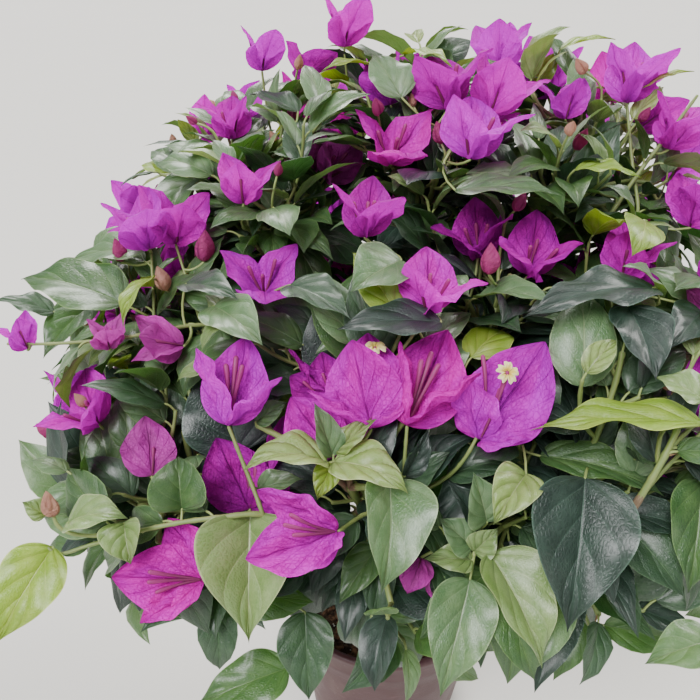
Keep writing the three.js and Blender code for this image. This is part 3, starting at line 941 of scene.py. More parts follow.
@dataclass
class Framework:
    """The trunk, boughs, stems and main twigs, grown by the rule of the part's source."""

    pot: PotSizes
    crown: CrownSizes
    limbs: LimbSizes
    shortest: float = 48 * MM
    longest: float = 125 * MM
    innermost: float = 0.42
    outermost: float = 0.86
    margin: float = 20 * MM
    tries: int = 80
    spread: float = 105 * MM
    slant: float = 0.55
    bloom_from: float = 320 * MM
    masses: list[Mass] = field(default_factory=list)

    def __post_init__(self) -> None:
        """Lay out the trunk and the masses."""
        self.trunk = self.trunk_line()
        self.masses = [self.place_mass(row) for row in MASS_ROWS]
        balls = [self.balls(self.trunk, self.trunk_radius)]
        balls += [self.balls(mass.bough, self.bough_radius) for mass in self.masses]
        self.ball_middles = np.concatenate([middles for middles, _ in balls])
        self.ball_radii = np.concatenate([radii for _, radii in balls])
        self.centres = np.array([mass.centre for mass in self.masses])

    def trunk_line(self) -> Bezier:
        """Return the trunk's middle line, from the mix to its tip."""
        foot = self.pot.soil_top + self.limbs.gap
        rise = self.limbs.trunk_tip_height - foot
        lean_x, lean_y = self.limbs.lean
        sway = self.limbs.sway
        return Bezier(
            (0, 0, foot),
            (0, 0, foot + 0.3 * rise),
            (lean_x + sway, lean_y - sway, foot + 0.7 * rise),
            (lean_x, lean_y, self.limbs.trunk_tip_height),
        )

    def bough_radius(self, share: float) -> float:
        """Return a bough's radius at a share of its length."""
        return lerp(*self.limbs.bough, share)

    def trunk_radius(self, share: float, angle: float = 0.0) -> float:
        """Tell how thick the trunk is.

        Args:
            share: the share of its rise.
            angle: the angle round it.

        Returns:
            The radius there.
        """
        rise = self.limbs.trunk_tip_height - self.pot.soil_top - self.limbs.gap
        flare = math.exp(-share * rise / self.limbs.flare_height)
        lobes = 1 + self.limbs.lobe_depth * flare * math.cos(self.limbs.lobes * angle)
        return (lerp(self.limbs.trunk_foot, self.limbs.trunk_tip, share) + self.limbs.flare * flare) * lobes

    def place_mass(self, row: MassRow) -> Mass:
        """Lay out a mass's middle with the curves of its bough and stem.

        Args:
            row: the mass's numbers.

        Returns:
            The mass.
        """
        bearing = math.radians(row.bearing)
        middle_x, middle_y = self.crown.middle
        centre = np.array([
            middle_x + self.crown.half_width * row.out * math.cos(bearing),
            middle_y + self.crown.half_depth * row.out * math.sin(bearing),
            lerp(self.crown.low, self.crown.high, row.up),
        ])
        outward = unit(centre - np.array([middle_x, middle_y, self.crown.heart]))
        share, step = 0.5, 0.25
        while step > 1e-5:
            share += step if self.trunk.at(share)[2] < row.joins * MM else -step
            step /= 2
        foot = self.trunk.at(share)
        way = (centre - foot) * self.limbs.bough_share
        side, rise = self.limbs.bough_elbow
        bough = Bezier(foot, foot + way * np.array([side, side, rise]), foot + way)
        start = bough.at(1.0) + bough.along(1.0) * self.limbs.gap
        run = row.run
        while self.crown.share(centre + outward * run * MM) > self.outermost:
            run -= 2
        tip = centre + outward * run * MM
        bend = start + bough.along(1.0) * 0.45 * float(np.linalg.norm(tip - start))
        return Mass(row, centre, bough, Bezier(start, bend, tip))

    def balls(self, curve: Bezier, radius_at: Callable[[float], float]) -> tuple[np.ndarray, np.ndarray]:
        """Set balls along a limb, for telling what comes too near to it.

        Args:
            curve: the limb's middle line.
            radius_at: gives its radius at a share.

        Returns:
            The balls' middles and radii.
        """
        count = math.ceil(curve.length() / (4 * MM))
        shares = np.arange(count + 1) / count
        return curve.at(shares), np.array([radius_at(share) for share in shares])

    def depth(self, points: np.ndarray, index: int) -> np.ndarray:
        """Tell how deep points lie inside a mass's own share of the crown.

        Args:
            points: points by axis.
            index: the mass's number.

        Returns:
            The distance from the nearest border, below zero outside it.
        """
        own = self.centres[index]
        others = np.delete(self.centres, index, axis=0)
        near = ((points - own) ** 2).sum(axis=-1)
        far = ((points[..., None, :] - others) ** 2).sum(axis=-1)
        apart = np.linalg.norm(others - own, axis=1)
        return ((far - near[..., None]) / (2 * apart)).min(axis=-1)

    def within(self, points: np.ndarray, most: float = 1.0) -> bool:
        """Tell whether points lie inside the crown.

        Args:
            points: points by axis.
            most: how far out they may lie, where 1 is the outline.

        Returns:
            Whether all of them do, and lie clear of the pot.
        """
        over_pot = np.hypot(points[..., 0], points[..., 1]) < self.pot.rim_radius + 8 * MM
        floor = np.where(over_pot, self.pot.height + 12 * MM, 0.0)
        return bool(np.all((self.crown.share(points) < most) & (points[..., 2] > floor)))

    def twig_fits(self, curve: Bezier, index: int) -> bool:
        """Tell whether a twig keeps to its mass and clear of the limbs.

        Args:
            curve: the twig's middle line.
            index: its mass's number.

        Returns:
            Whether it does.
        """
        shares = np.arange(1, 13) / 12
        points = curve.at(shares)
        radii = lerp(*self.limbs.twig, shares)
        if not self.within(points):
            return False
        if np.any(self.depth(points, index) <= radii + self.limbs.gap):
            return False
        apart = np.linalg.norm(points[:, None] - self.ball_middles, axis=-1)
        return bool(np.all(apart > self.ball_radii + radii[:, None] + 3 * MM))

    def twig_to(self, end: np.ndarray, stem: Bezier) -> Bezier:
        """Lay out a twig that leaves the stem where it can do so at the usual slant.

        Args:
            end: where the twig ends.
            stem: the stem that it leaves.

        Returns:
            The twig's middle line.
        """

        def misfit(share: float) -> float:
            """Tell how badly a twig would slant.

            Args:
                share: where it leaves the stem.

            Returns:
                Its misfit, which also grows with its length.
            """
            way = end - stem.at(share)
            length = float(np.linalg.norm(way))
            return abs(float(np.dot(way, stem.along(share))) / length - self.slant) + 3.0 * length

        share = min([0.05 + 0.1 * i for i in range(10)], key=misfit)
        start = stem.at(share)
        run = float(np.linalg.norm(end - start))
        bend = (start + end) / 2 + stem.along(share) * 0.12 * run + UP * 0.12 * run
        return Bezier(start, bend, end)

    def twigs_of(self, index: int) -> list[Shoot]:
        """Grow a mass's twigs: the placed ones, then seeded ones that each end far from the others.

        Args:
            index: the mass's number.

        Returns:
            The twigs.
        """
        mass = self.masses[index]
        chance = Seeded(index + 1)
        placed = [self.twig_to(np.array(place) * MM, mass.stem) for place in mass.row.shoots]
        placed = [curve for curve in placed if self.twig_fits(curve, index)]
        shoots = [Shoot(curve.route(), *self.limbs.twig, 1, False, placed=True) for curve in placed]
        ends = [mass.stem.at(1.0)] + [curve.at(1.0) for curve in placed]
        for _ in range(mass.row.twigs):
            best, room = None, 0.0
            for _ in range(self.tries):
                offset = np.array([chance.next() - 0.5, chance.next() - 0.5, chance.next() - 0.5])
                end = mass.centre + offset * 2 * self.spread
                clearance = min(float(np.linalg.norm(other - end)) for other in ends)
                if not self.innermost <= self.crown.share(end) <= self.outermost or clearance < room:
                    continue
                if self.depth(end, index) < self.margin:
                    continue
                curve = self.twig_to(end, mass.stem)
                if self.shortest < curve.length() < self.longest and self.twig_fits(curve, index):
                    best, room = curve, clearance
            if best is None:
                continue
            ends.append(best.at(1.0))
            flowers = chance.next() < (0.85 if best.at(1.0)[2] > self.bloom_from else 0.2)
            shoots.append(Shoot(best.route(), *self.limbs.twig, 1, flowers))
        return shoots


# The camera
@dataclass(frozen=True)
class View:
    """The photograph's camera: where it stands, how far it looks down, and its focal length in pixels.

    In the calm region of its frame (left, top, right, bottom), the photograph has leaves alone at the front.
    """

    place: tuple[float, float, float] = (-30 * MM, -410 * MM, 600 * MM)
    down: float = 30.0
    focal: float = 700.0
    frame: float = 700.0
    calm: tuple[float, float, float, float] = (0, 430, 700, 700)
    calm_depth: float = 430 * MM

    @property
    def axes(self) -> tuple[np.ndarray, np.ndarray, np.ndarray]:
        """Return the directions to the right, up and ahead."""
        slope = math.radians(self.down)
        ahead = np.array([0.0, math.cos(slope), -math.sin(slope)])
        return np.array([1.0, 0.0, 0.0]), np.array([0.0, math.sin(slope), math.cos(slope)]), ahead

    def point(self, x: float, y: float, depth_mm: float) -> np.ndarray:
        """Find the point behind a pixel.

        Args:
            x: the pixel across.
            y: the pixel down.
            depth_mm: how far ahead the point lies, in millimetres.

        Returns:
            The point.
        """
        right, up, ahead = self.axes
        scale = depth_mm * MM / self.focal
        offset = (x - self.frame / 2) * scale * right - (y - self.frame / 2) * scale * up
        return np.array(self.place) + depth_mm * MM * ahead + offset

    def seen(self, points: np.ndarray) -> tuple[np.ndarray, np.ndarray]:
        """Find where points show.

        Args:
            points: points by axis.

        Returns:
            Their pixels, across and down, and their depths in metres.
        """
        right, up, ahead = self.axes
        offset = points.reshape(-1, 3) - np.array(self.place)
        depth = offset @ ahead
        across = self.frame / 2 + self.focal * (offset @ right) / depth
        down = self.frame / 2 - self.focal * (offset @ up) / depth
        return np.stack([across, down], axis=-1), depth

    def is_calm(self, point: np.ndarray) -> bool:
        """Tell whether a point shows at the front of the calm region.

        Args:
            point: the point.

        Returns:
            Whether it does.
        """
        pixels, depths = self.seen(point)
        (across, down), (left, top, right, bottom) = pixels[0], self.calm
        return bool(left < across < right and top < down < bottom and depths[0] < self.calm_depth)

    def facing(self, right: float, up: float, near: float) -> np.ndarray:
        """Return a direction given by how far it points right, up and towards the camera."""
        to_right, to_up, ahead = self.axes
        return unit(right * to_right + up * to_up - near * ahead)

    def on_crown(self, x: float, y: float, crown: CrownSizes, share: float) -> np.ndarray:
        """Find the first point of the crown behind a pixel.

        Args:
            x: the pixel across.
            y: the pixel down.
            crown: the crown.
            share: how far out the point lies, where 1 is the outline.

        Returns:
            The point, or the innermost one behind the pixel where none lies so far in.
        """
        depths = np.arange(250.0, 760.0, 2.0)
        points = np.array([self.point(x, y, depth) for depth in depths])
        shares = crown.share(points)
        inside = np.nonzero(shares < share)[0]
        return points[inside[0]] if len(inside) else points[int(np.argmin(shares))]

    def build(self) -> None:
        """Make the camera and use it."""
        data = bpy.data.cameras.new("photo_camera")
        data.sensor_width = 36.0
        data.lens = 36.0 * self.focal / self.frame
        data.clip_start = 0.01
        camera = bpy.data.objects.new("photo_camera", data)
        camera.location = self.place
        camera.rotation_euler = (math.radians(90 - self.down), 0.0, 0.0)
        bpy.context.scene.collection.objects.link(camera)
        bpy.context.scene.camera = camera


# Blades and blooms
@dataclass
class Blade:
    """A leaf or a bract: a sheet that is folded, arched, curled and rippled about its midrib."""

    root: np.ndarray
    along: np.ndarray
    face: np.ndarray
    length: float
    width: float
    arch: float = 0.6
    fold: float = 0.35
    curl: float = 0.3
    twist: float = 0.0
    ripple: float = 0.03
    phase: float = 0.0
    foot_power: float = 0.62
    tip_power: float = 1.2
    drip: float = 0.0
    crumple: float = 0.0
    near: bool = False

    @classmethod
    def between(
        cls, root: np.ndarray, tip: np.ndarray, face: np.ndarray, width: float, arch: float, **form: object
    ) -> "Blade":
        """Return a blade whose tip falls at a point.

        Args:
            root: where it begins.
            tip: where its arched midrib ends.
            face: roughly the way that its upper side faces.
            width: its width.
            arch: how far it bends, in radians.
            form: its other curvatures.

        Returns:
            The blade.
        """
        chord = tip - root
        upper = square_to(face, unit(chord))
        along = unit(unit(chord) * math.cos(0.4 * arch) + upper * math.sin(0.4 * arch))
        length = float(np.linalg.norm(chord)) * (1 + arch * arch / 14)
        return cls(root, along, square_to(upper, along), length, width, arch, **form)

    def grid(self, rows: int, columns: int, start: float = 0.0, quilt: float = 0.0) -> np.ndarray:
        """Return the blade's points.

        Args:
            rows: how many from base to tip.
            columns: how many across.
            start: the share of the length where the first row lies.
            quilt: how high the blade swells between its side veins.

        Returns:
            Points by row, by column, by axis.
        """
        steps = np.linspace(0, 1, rows)
        share = start + (1 - start) * (0.5 - 0.5 * np.cos(np.pi * steps))
        bend = self.arch
        forward = share - bend**2 * share**4 / 8 + bend**4 * share**7 / 168
        fall = bend * share**2.5 / 2.5 - bend**3 * share**5.5 / 33 + bend**5 * share**8.5 / 1020
        slope = bend * share**1.5
        beside = cross(self.along, self.face)
        normal = np.outer(np.sin(slope), self.along) + np.outer(np.cos(slope), self.face)
        turn = (self.twist * share)[:, None]
        across = np.cos(turn) * beside + np.sin(turn) * normal
        above = -np.sin(turn) * beside + np.cos(turn) * normal
        spine = self.root + self.length * (np.outer(forward, self.along) - np.outer(fall, self.face))
        even = np.linspace(-1, 1, columns)
        spread = np.sign(even) * np.abs(even) ** 1.3
        away = np.abs(spread)
        peak = self.foot_power / (self.foot_power + self.tip_power)
        most = peak**self.foot_power * (1 - peak) ** self.tip_power
        half = 0.5 * self.width * share**self.foot_power * (1 - share) ** self.tip_power / most
        half = half * (1 - self.drip * share**5)
        wave = np.sin(TURN * (2.3 * share[:, None] + self.phase + 0.37 * np.sign(spread)))
        lift = half[:, None] * (self.fold * away - self.curl * away**2)
        lift = lift + self.ripple * self.length * wave * away**2 * np.sin(math.pi * share)[:, None]
        if self.crumple > 0:
            lift = lift + self.crumple * self.length * paper_relief(share[:, None], spread, self.phase)
        if quilt > 0:
            lift = lift + quilt * vein_relief(steps[:, None], even)
        sideways = half[:, None] * spread / math.sqrt(1 + self.fold**2)
        return spine[:, None] + sideways[..., None] * across[:, None] + lift[..., None] * above[:, None]

    def outline(self) -> np.ndarray:
        """Return the few points that stand for the blade when it is tested for crossings."""
        return self.grid(5, 3, 0.08)


def vein_relief(along: np.ndarray, across: np.ndarray) -> np.ndarray:
    """Tell how much a leaf swells between the veins that its finish draws.

    Args:
        along: places from foot to tip, 0 to 1.
        across: places from edge to edge, -1 to 1.

    Returns:
        0 on the veins to 1 between them.
    """
    side = np.abs(across)
    phase = along**VEIN_CROWDING * VEINS - side**VEIN_SWEEP * VEIN_SLANT + VEIN_SHIFT * (across > 0)
    gap = np.abs((phase % 1.0) * 2.0 - 1.0)
    return (1 - gap**3) * np.minimum(1.0, side / 0.25) * (1 - side**6) * np.sin(math.pi * along) ** 0.5


def paper_relief(along: np.ndarray, across: np.ndarray, phase: float) -> np.ndarray:
    """Tell how a papery bract is crumpled.

    Args:
        along: places from foot to tip, 0 to 1.
        across: places from edge to edge, -1 to 1.
        phase: makes one bract unlike the next.

    Returns:
        The relief, about -1 to 1.
    """
    broad = np.sin(TURN * (1.3 * along + 0.5 * across + phase))
    broad = broad * np.sin(TURN * (0.6 * along - 0.8 * across + 2.3 * phase))
    fine = np.sin(TURN * (2.9 * along - 1.2 * across + 1.7 * phase))
    fine = fine * np.sin(TURN * (1.4 * along + 1.9 * across - phase))
    return (broad + 0.45 * fine) * np.sqrt(np.sin(math.pi * along))


BLADE_FACES = sheet_faces(5, 3)
BUD_FACES = sheet_faces(4, 4)
LEAF_OUTLINE = {"foot_power": 0.56, "tip_power": 1.0, "drip": 0.66}
BRACT_OUTLINE = {"foot_power": 0.48, "tip_power": 0.76, "drip": 0.35, "crumple": 0.045}
NEAR_BRACT_OUTLINE = {"foot_power": 0.48, "tip_power": 0.74, "drip": 0.3, "crumple": 0.055}
TUBE_RADII = (0.5, 0.8, 0.92, 0.9, 0.86, 0.96, 1.16, 1.38, 1.3)  # millimetres, in a bloom of 40 mm
STAR_PROFILE = ((0.12, -0.25), (0.3, 0.05), (0.62, 0.2), (0.88, 0.16), (1.0, 0.02))  # reach and rise


class Crowding:
    """What already takes up room in the crown, so that new blades can be tested for crossings."""

    def __init__(self, batch: int = 48) -> None:
        """Start empty.

        Args:
            batch: how many sheets to hold loose before they join the one large tree.
        """
        self.batch = batch
        self.points: list[list[float]] = []
        self.faces: list[list[int]] = []
        self.tree: BVHTree | None = None
        self.loose: list[tuple[np.ndarray, np.ndarray, BVHTree]] = []

    def add(self, points: np.ndarray, faces: np.ndarray) -> None:
        """Take up the room of one sheet.

        Args:
            points: its points.
            faces: its faces, by the numbers of their corners.
        """
        flat = points.reshape(-1, 3)
        listed = flat.tolist()
        self.faces.extend((faces + len(self.points)).tolist())
        self.points.extend(listed)
        tree = BVHTree.FromPolygons(listed, faces.tolist())
        self.loose.append((flat.min(axis=0), flat.max(axis=0), tree))
        if len(self.loose) >= self.batch:
            self.tree = BVHTree.FromPolygons(self.points, self.faces)
            self.loose = []

    def free(self, points: np.ndarray, faces: np.ndarray) -> bool:
        """Tell whether a sheet would cross nothing.

        Args:
            points: its points.
            faces: its faces, by the numbers of their corners.

        Returns:
            Whether there is room for it.
        """
        flat = points.reshape(-1, 3)
        low, high = flat.min(axis=0), flat.max(axis=0)
        tree = BVHTree.FromPolygons(flat.tolist(), faces.tolist())
        if self.tree is not None and self.tree.overlap(tree):
            return False
        for other_low, other_high, other in self.loose:
            if np.all(low <= other_high) and np.all(high >= other_low) and other.overlap(tree):
                return False
        return True

    def blocked(self, start: np.ndarray, end: np.ndarray) -> bool:
        """Tell whether something lies between two points.

        Args:
            start: the first point.
            end: the second point.

        Returns:
            Whether the straight line between them meets a sheet.
        """
        way, reach = unit(end - start), float(np.linalg.norm(end - start))
        trees = [other for _, _, other in self.loose] + ([self.tree] if self.tree is not None else [])
        return any(tree.ray_cast(start, way, reach)[0] is not None for tree in trees)


class OpenView:
    """Keeps later growth from hiding what the photograph shows, by the depth behind each small square."""

    def __init__(self, view: View, square: float = 4.0) -> None:
        """Start with nothing to keep open.

        Args:
            view: the photograph's camera.
            square: the side of a square, in pixels.
        """
        count = math.ceil(view.frame / square)
        self.view = view
        self.square = square
        self.nearest = np.full((count, count), -np.inf)

    def squares(self, points: np.ndarray) -> tuple[np.ndarray, np.ndarray, np.ndarray]:
        """Find the squares that points fall in.

        Args:
            points: points by axis.

        Returns:
            The rows and columns of the squares, and the depths, of the points inside the frame.
        """
        pixels, depths = self.view.seen(points)
        cells = np.floor(pixels / self.square).astype(int)
        inside = np.all((cells >= 0) & (cells < len(self.nearest)), axis=1)
        return cells[inside, 1], cells[inside, 0], depths[inside]

    def keep(self, points: np.ndarray) -> None:
        """Keep the squares in front of points open.

        Args:
            points: points by axis.
        """
        for row, column, depth in zip(*self.squares(points)):
            known = self.nearest[row, column]
            self.nearest[row, column] = depth if known == -np.inf else min(known, depth)

    def hides(self, points: np.ndarray) -> bool:
        """Return whether points would stand in front of something that shows."""
        rows, columns, depths = self.squares(points)
        return bool(np.any(depths < self.nearest[rows, columns] - MM))


@dataclass
class Bloom:
    """Three papery bracts round three flower tubes, some of which open into a star."""

    root: np.ndarray
    axis: np.ndarray
    roll: float
    size: float
    spread: float
    tint: BractTint
    stars: int = 0
    cup: float = 0.42
    own_bracts: tuple[Blade, ...] = ()
    own_tubes: tuple[tuple[Route, bool], ...] = ()
    star_facing: np.ndarray | None = None

    @property
    def closed(self) -> bool:
        """Return whether this is a bud."""
        return self.spread < 0.2

    def bud(self, rows: int = 13, sides: int = 18) -> np.ndarray:
        """Shape the closed bracts as one pointed bud with three soft ridges.

        Args:
            rows: how many rings from base to tip.
            sides: how many points round it.

        Returns:
            Points by ring, by side, by axis.
        """
        share = np.linspace(0, 1, rows)[:, None]
        angles = np.linspace(0, TURN, sides, endpoint=False)
        right = self.sides()[0]
        front = cross(self.axis, right)
        ridges = 1 + 0.2 * np.cos(3 * angles + 1.8 * share)
        radius = self.size * (0.012 + 0.27 * np.sin(math.pi * share**0.72) ** 0.9) * ridges
        round_it = np.cos(angles)[None, :, None] * right + np.sin(angles)[None, :, None] * front
        return self.root + radius[..., None] * round_it + (share * self.size)[..., None] * self.axis

    @property
    def outline_faces(self) -> np.ndarray:
        """Return the faces of each sheet that stands for the bloom."""
        return BUD_FACES if self.closed else BLADE_FACES

    def outlines(self) -> list[np.ndarray]:
        """Return the sheets of few points that stand for the bloom when it is tested for crossings."""
        return [self.bud(4, 4)] if self.closed else [blade.outline() for blade in self.bracts()]

    def sides(self) -> list[np.ndarray]:
        """Return the outward directions of the three bracts."""
        right = square_to(SKEW, self.axis)
        front = cross(self.axis, right)
        angles = [self.roll + TURN * number / 3 for number in range(3)]
        return [right * math.cos(angle) + front * math.sin(angle) for angle in angles]

    def bracts(self) -> list[Blade]:
        """Return the three bracts."""
        if self.own_bracts:
            return list(self.own_bracts)
        blades = []
        for index, outward in enumerate(self.sides()):
            wobble = math.sin(7.3 * self.roll + 2.1 * index)
            spread = self.spread + 0.16 * wobble
            along = self.axis * math.cos(spread) + outward * math.sin(spread)
            length = self.size * (1 + 0.06 * wobble)
            blades.append(Blade(
                self.root + along * 0.6 * MM, along, square_to(self.axis, along), length, 0.9 * length,
                arch=0.12 + 0.4 * self.spread * (1 + 0.5 * wobble), fold=self.cup, curl=0.5 * self.cup + 0.12,
                twist=0.22 * wobble, ripple=0.035, phase=0.3 * index + self.roll, **BRACT_OUTLINE,
            ))
        return blades

    def tubes(self) -> list[tuple[Route, bool]]:
        """Return the middle lines of the three flower tubes, and whether each has opened."""
        if self.own_tubes:
            return list(self.own_tubes)
        made = []
        for index, outward in enumerate(self.sides()):
            way = unit(self.axis * 0.94 + outward * min(0.42, 0.6 * self.spread))
            start = self.root + way * 0.05 * self.size + outward * 0.5 * MM
            middle = start + way * 0.22 * self.size + outward * 0.5 * MM
            end = start + way * (0.46 + 0.04 * index) * self.size + self.axis * 0.4 * MM
            made.append((Route(np.array([start, middle, end]), 2), index < self.stars))
        return made


# What the photograph places
@dataclass(frozen=True)
class PlacedStem:
    """A green stem that shows: pixels with depths in millimetres from foot to tip, and its radii there."""

    pixels: tuple[tuple[float, float, float], ...]
    foot: float = 1.5
    tip: float = 1.0


@dataclass(frozen=True)
class PlacedLeaf:
    """A leaf that shows: the pixels of its foot and tip, its width in millimetres, its tint and its form."""

    foot: tuple[float, float]
    tip: tuple[float, float]
    width: float
    tint: LeafTint
    depths: tuple[float, float] | None = None
    face: tuple[float, float, float] = (0.0, 0.55, 0.85)
    arch: float = 0.6
    fold: float = 0.4
    taper: float = 1.05


@dataclass(frozen=True)
class PlacedBloom:
    """A bloom that shows: the pixel of its foot, the way it faces, its roll in degrees, size and spread."""

    foot: tuple[float, float]
    facing: tuple[float, float, float]
    roll: float
    size: float
    spread: float
    tint: BractTint
    depth: float | None = None


@dataclass(frozen=True)
class NearBract:
    """A bract of a near bloom: its tip in pixels and depth, the way its inside faces, and its form."""

    tip: tuple[float, float, float]
    inside: tuple[float, float, float]
    width: float
    fold: float = 0.4
    arch: float = 0.35
    twist: float = 0.0


@dataclass(frozen=True)
class NearBloom:
    """A bloom that shows in full: the pixel and depth of its foot, its bracts and its flower tubes' ends."""

    foot: tuple[float, float, float]
    tint: BractTint
    bracts: tuple[NearBract, ...]
    tubes: tuple[tuple[float, float, float], ...] = ()
    stars: int = 0
    star_facing: tuple[float, float, float] = (0.0, 0.6, 0.8)


NEAR_BLOOMS = (
    NearBloom((228, 427, 350), BractTint.CLEAR, (
        NearBract((246, 336, 360), (-0.1, 0.1, 1.0), 36, 0.3, 0.25),
        NearBract((196, 348, 346), (0.75, 0.1, -0.55), 27, 0.5, 0.3),
        NearBract((282, 377, 338), (-0.35, 0.85, 0.1), 27, 0.75, 0.3)),
        ((226, 366, 349), (236, 358, 352), (242, 367, 347))),
    NearBloom((371, 430, 350), BractTint.BRIGHT, (
        NearBract((352, 340, 344), (0.12, -0.05, -1.0), 41, 0.32, 0.3),
        NearBract((368, 333, 360), (0.0, 0.1, 1.0), 42, 0.3, 0.25),
        NearBract((308, 391, 337), (0.1, 0.9, 0.2), 25, 0.8, 0.4, 0.3)),
        ((375, 349, 352), (384, 366, 354), (362, 372, 354)), 1, (0.0, 0.88, 0.45)),
    NearBloom((334, 459, 354), BractTint.BRIGHT, (
        NearBract((291, 397, 349), (-0.35, 0.25, 0.9), 34, 0.3, 0.4),
        NearBract((344, 396, 368), (0.0, 0.2, 1.0), 32, 0.3, 0.3),
        NearBract((318, 412, 372), (-0.3, 0.5, 0.8), 24, 0.6, 0.3)),
        ((312, 424, 356), (318, 418, 357), (326, 420, 358))),
    NearBloom((330, 402, 368), BractTint.DEEP, (
        NearBract((289, 349, 364), (0.1, 0.95, 0.25), 15, 0.8, 0.3),
        NearBract((290, 376, 366), (-0.2, 0.2, 0.9), 24, 0.3, 0.3),
        NearBract((322, 352, 376), (0.0, 0.2, 1.0), 24, 0.4, 0.3))),
    NearBloom((406, 427, 350), BractTint.HOT, (
        NearBract((400, 341, 349), (0.75, 0.05, 0.25), 25, 0.85, 0.2, -0.2),
        NearBract((448, 330, 363), (-0.12, 0.1, 1.0), 43, 0.26, 0.25),
        NearBract((481, 373, 336), (-0.3, 0.85, 0.15), 30, 0.75, 0.35, 0.2)),
        ((421, 362, 351), (431, 354, 354), (438, 366, 349))),
    NearBloom((479, 441, 350), BractTint.CLEAR, (
        NearBract((545, 342, 352), (-0.35, 0.15, 0.9), 45, 0.16, 0.35),
        NearBract((468, 376, 339), (0.45, 0.1, -0.85), 30, 0.5, 0.4, 0.2),
        NearBract((527, 438, 334), (-0.15, 0.85, 0.45), 30, 0.6, 0.5)),
        ((507, 373, 337), (483, 357, 350), (500, 390, 350)), 1, (0.15, 0.3, 0.93)),
    # This bloom's deep tint is partly its own colour and partly painted shade, for the shade it sits in
    # behind the nearer bloom.
    NearBloom((250, 510, 376), BractTint.DEEP, (
        NearBract((216, 438, 372), (0.0, 0.2, 1.0), 38, 0.3, 0.3),
        NearBract((284, 416, 384), (-0.5, 0.2, 0.8), 19, 0.7, 0.3),
        NearBract((290, 486, 370), (0.0, 0.5, 0.8), 24, 0.5, 0.4)),
        ((243, 462, 376), (249, 456, 378), (256, 466, 376))),
    NearBloom((339, 531, 331), BractTint.BRIGHT, (
        NearBract((257, 490, 331), (0.05, -0.5, 0.8), 27, 0.5, 0.4, 0.15),
        NearBract((246, 559, 317), (0.05, 0.6, 0.8), 34, 0.4, 0.5),
        NearBract((312, 571, 316), (-0.75, 0.2, 0.55), 27, 0.5, 0.5)),
        ((291, 515, 322), (285, 525, 319), (294, 535, 320))),
    NearBloom((205, 580, 350), BractTint.HOT, (
        NearBract((168, 518, 352), (-0.25, -0.1, 0.95), 32, 0.35, 0.35),
        NearBract((112, 577, 342), (0.05, 0.25, 0.95), 35, 0.3, 0.45),
        NearBract((140, 623, 337), (0.0, 0.8, 0.5), 27, 0.75, 0.4)),
        ((150, 572, 341), (149, 582, 340), (157, 592, 342))),
    NearBloom((152, 477, 376), BractTint.PALE, (
        NearBract((145, 416, 377), (0.0, 0.15, 1.0), 31, 0.3, 0.35),
        NearBract((128, 436, 388), (0.3, 0.3, 0.8), 20, 0.5, 0.3),
        NearBract((172, 434, 390), (-0.3, 0.3, 0.8), 20, 0.5, 0.3))),
)

PLACED_STEMS = (
    PlacedStem(((300, 545, 372), (275, 522, 352), (262, 512, 346), (215, 518, 343), (180, 522, 345),
                (130, 533, 346), (85, 537, 346), (58, 530, 345), (52, 512, 345)), 1.7, 0.9),
    PlacedStem(((120, 538, 347), (88, 545, 345), (60, 556, 344), (48, 548, 343)), 1.1, 0.8),
    PlacedStem(((262, 512, 346), (255, 492, 348), (241, 458, 350), (229, 427, 350)), 1.1, 0.9),
    PlacedStem(((400, 500, 372), (363, 514, 350), (339, 531, 331)), 1.1, 0.9),
    PlacedStem(((404, 505, 372), (404, 470, 356), (407, 427, 350)), 1.3, 0.9),
    PlacedStem(((425, 490, 378), (450, 476, 362), (466, 458, 352), (478, 435, 350)), 1.2, 0.9),
    PlacedStem(((372, 500, 380), (350, 478, 358), (330, 463, 346)), 1.2, 0.9),
    PlacedStem(((492, 470, 380), (482, 515, 356), (474, 556, 348)), 1.2, 0.9),
    PlacedStem(((150, 360, 420), (155, 320, 430), (151, 252, 440)), 1.1, 0.9),
    PlacedStem(((205, 335, 420), (190, 290, 430), (176, 245, 440)), 1.0, 0.8),
    PlacedStem(((260, 330, 420), (200, 322, 400), (130, 338, 392), (60, 344, 388), (8, 344, 386)), 1.3, 0.8),
    PlacedStem(((640, 215, 450), (632, 165, 455), (627, 104, 460)), 1.3, 0.9),
    PlacedStem(((600, 230, 450), (640, 170, 448), (668, 135, 446), (697, 96, 445)), 1.6, 1.0),
)

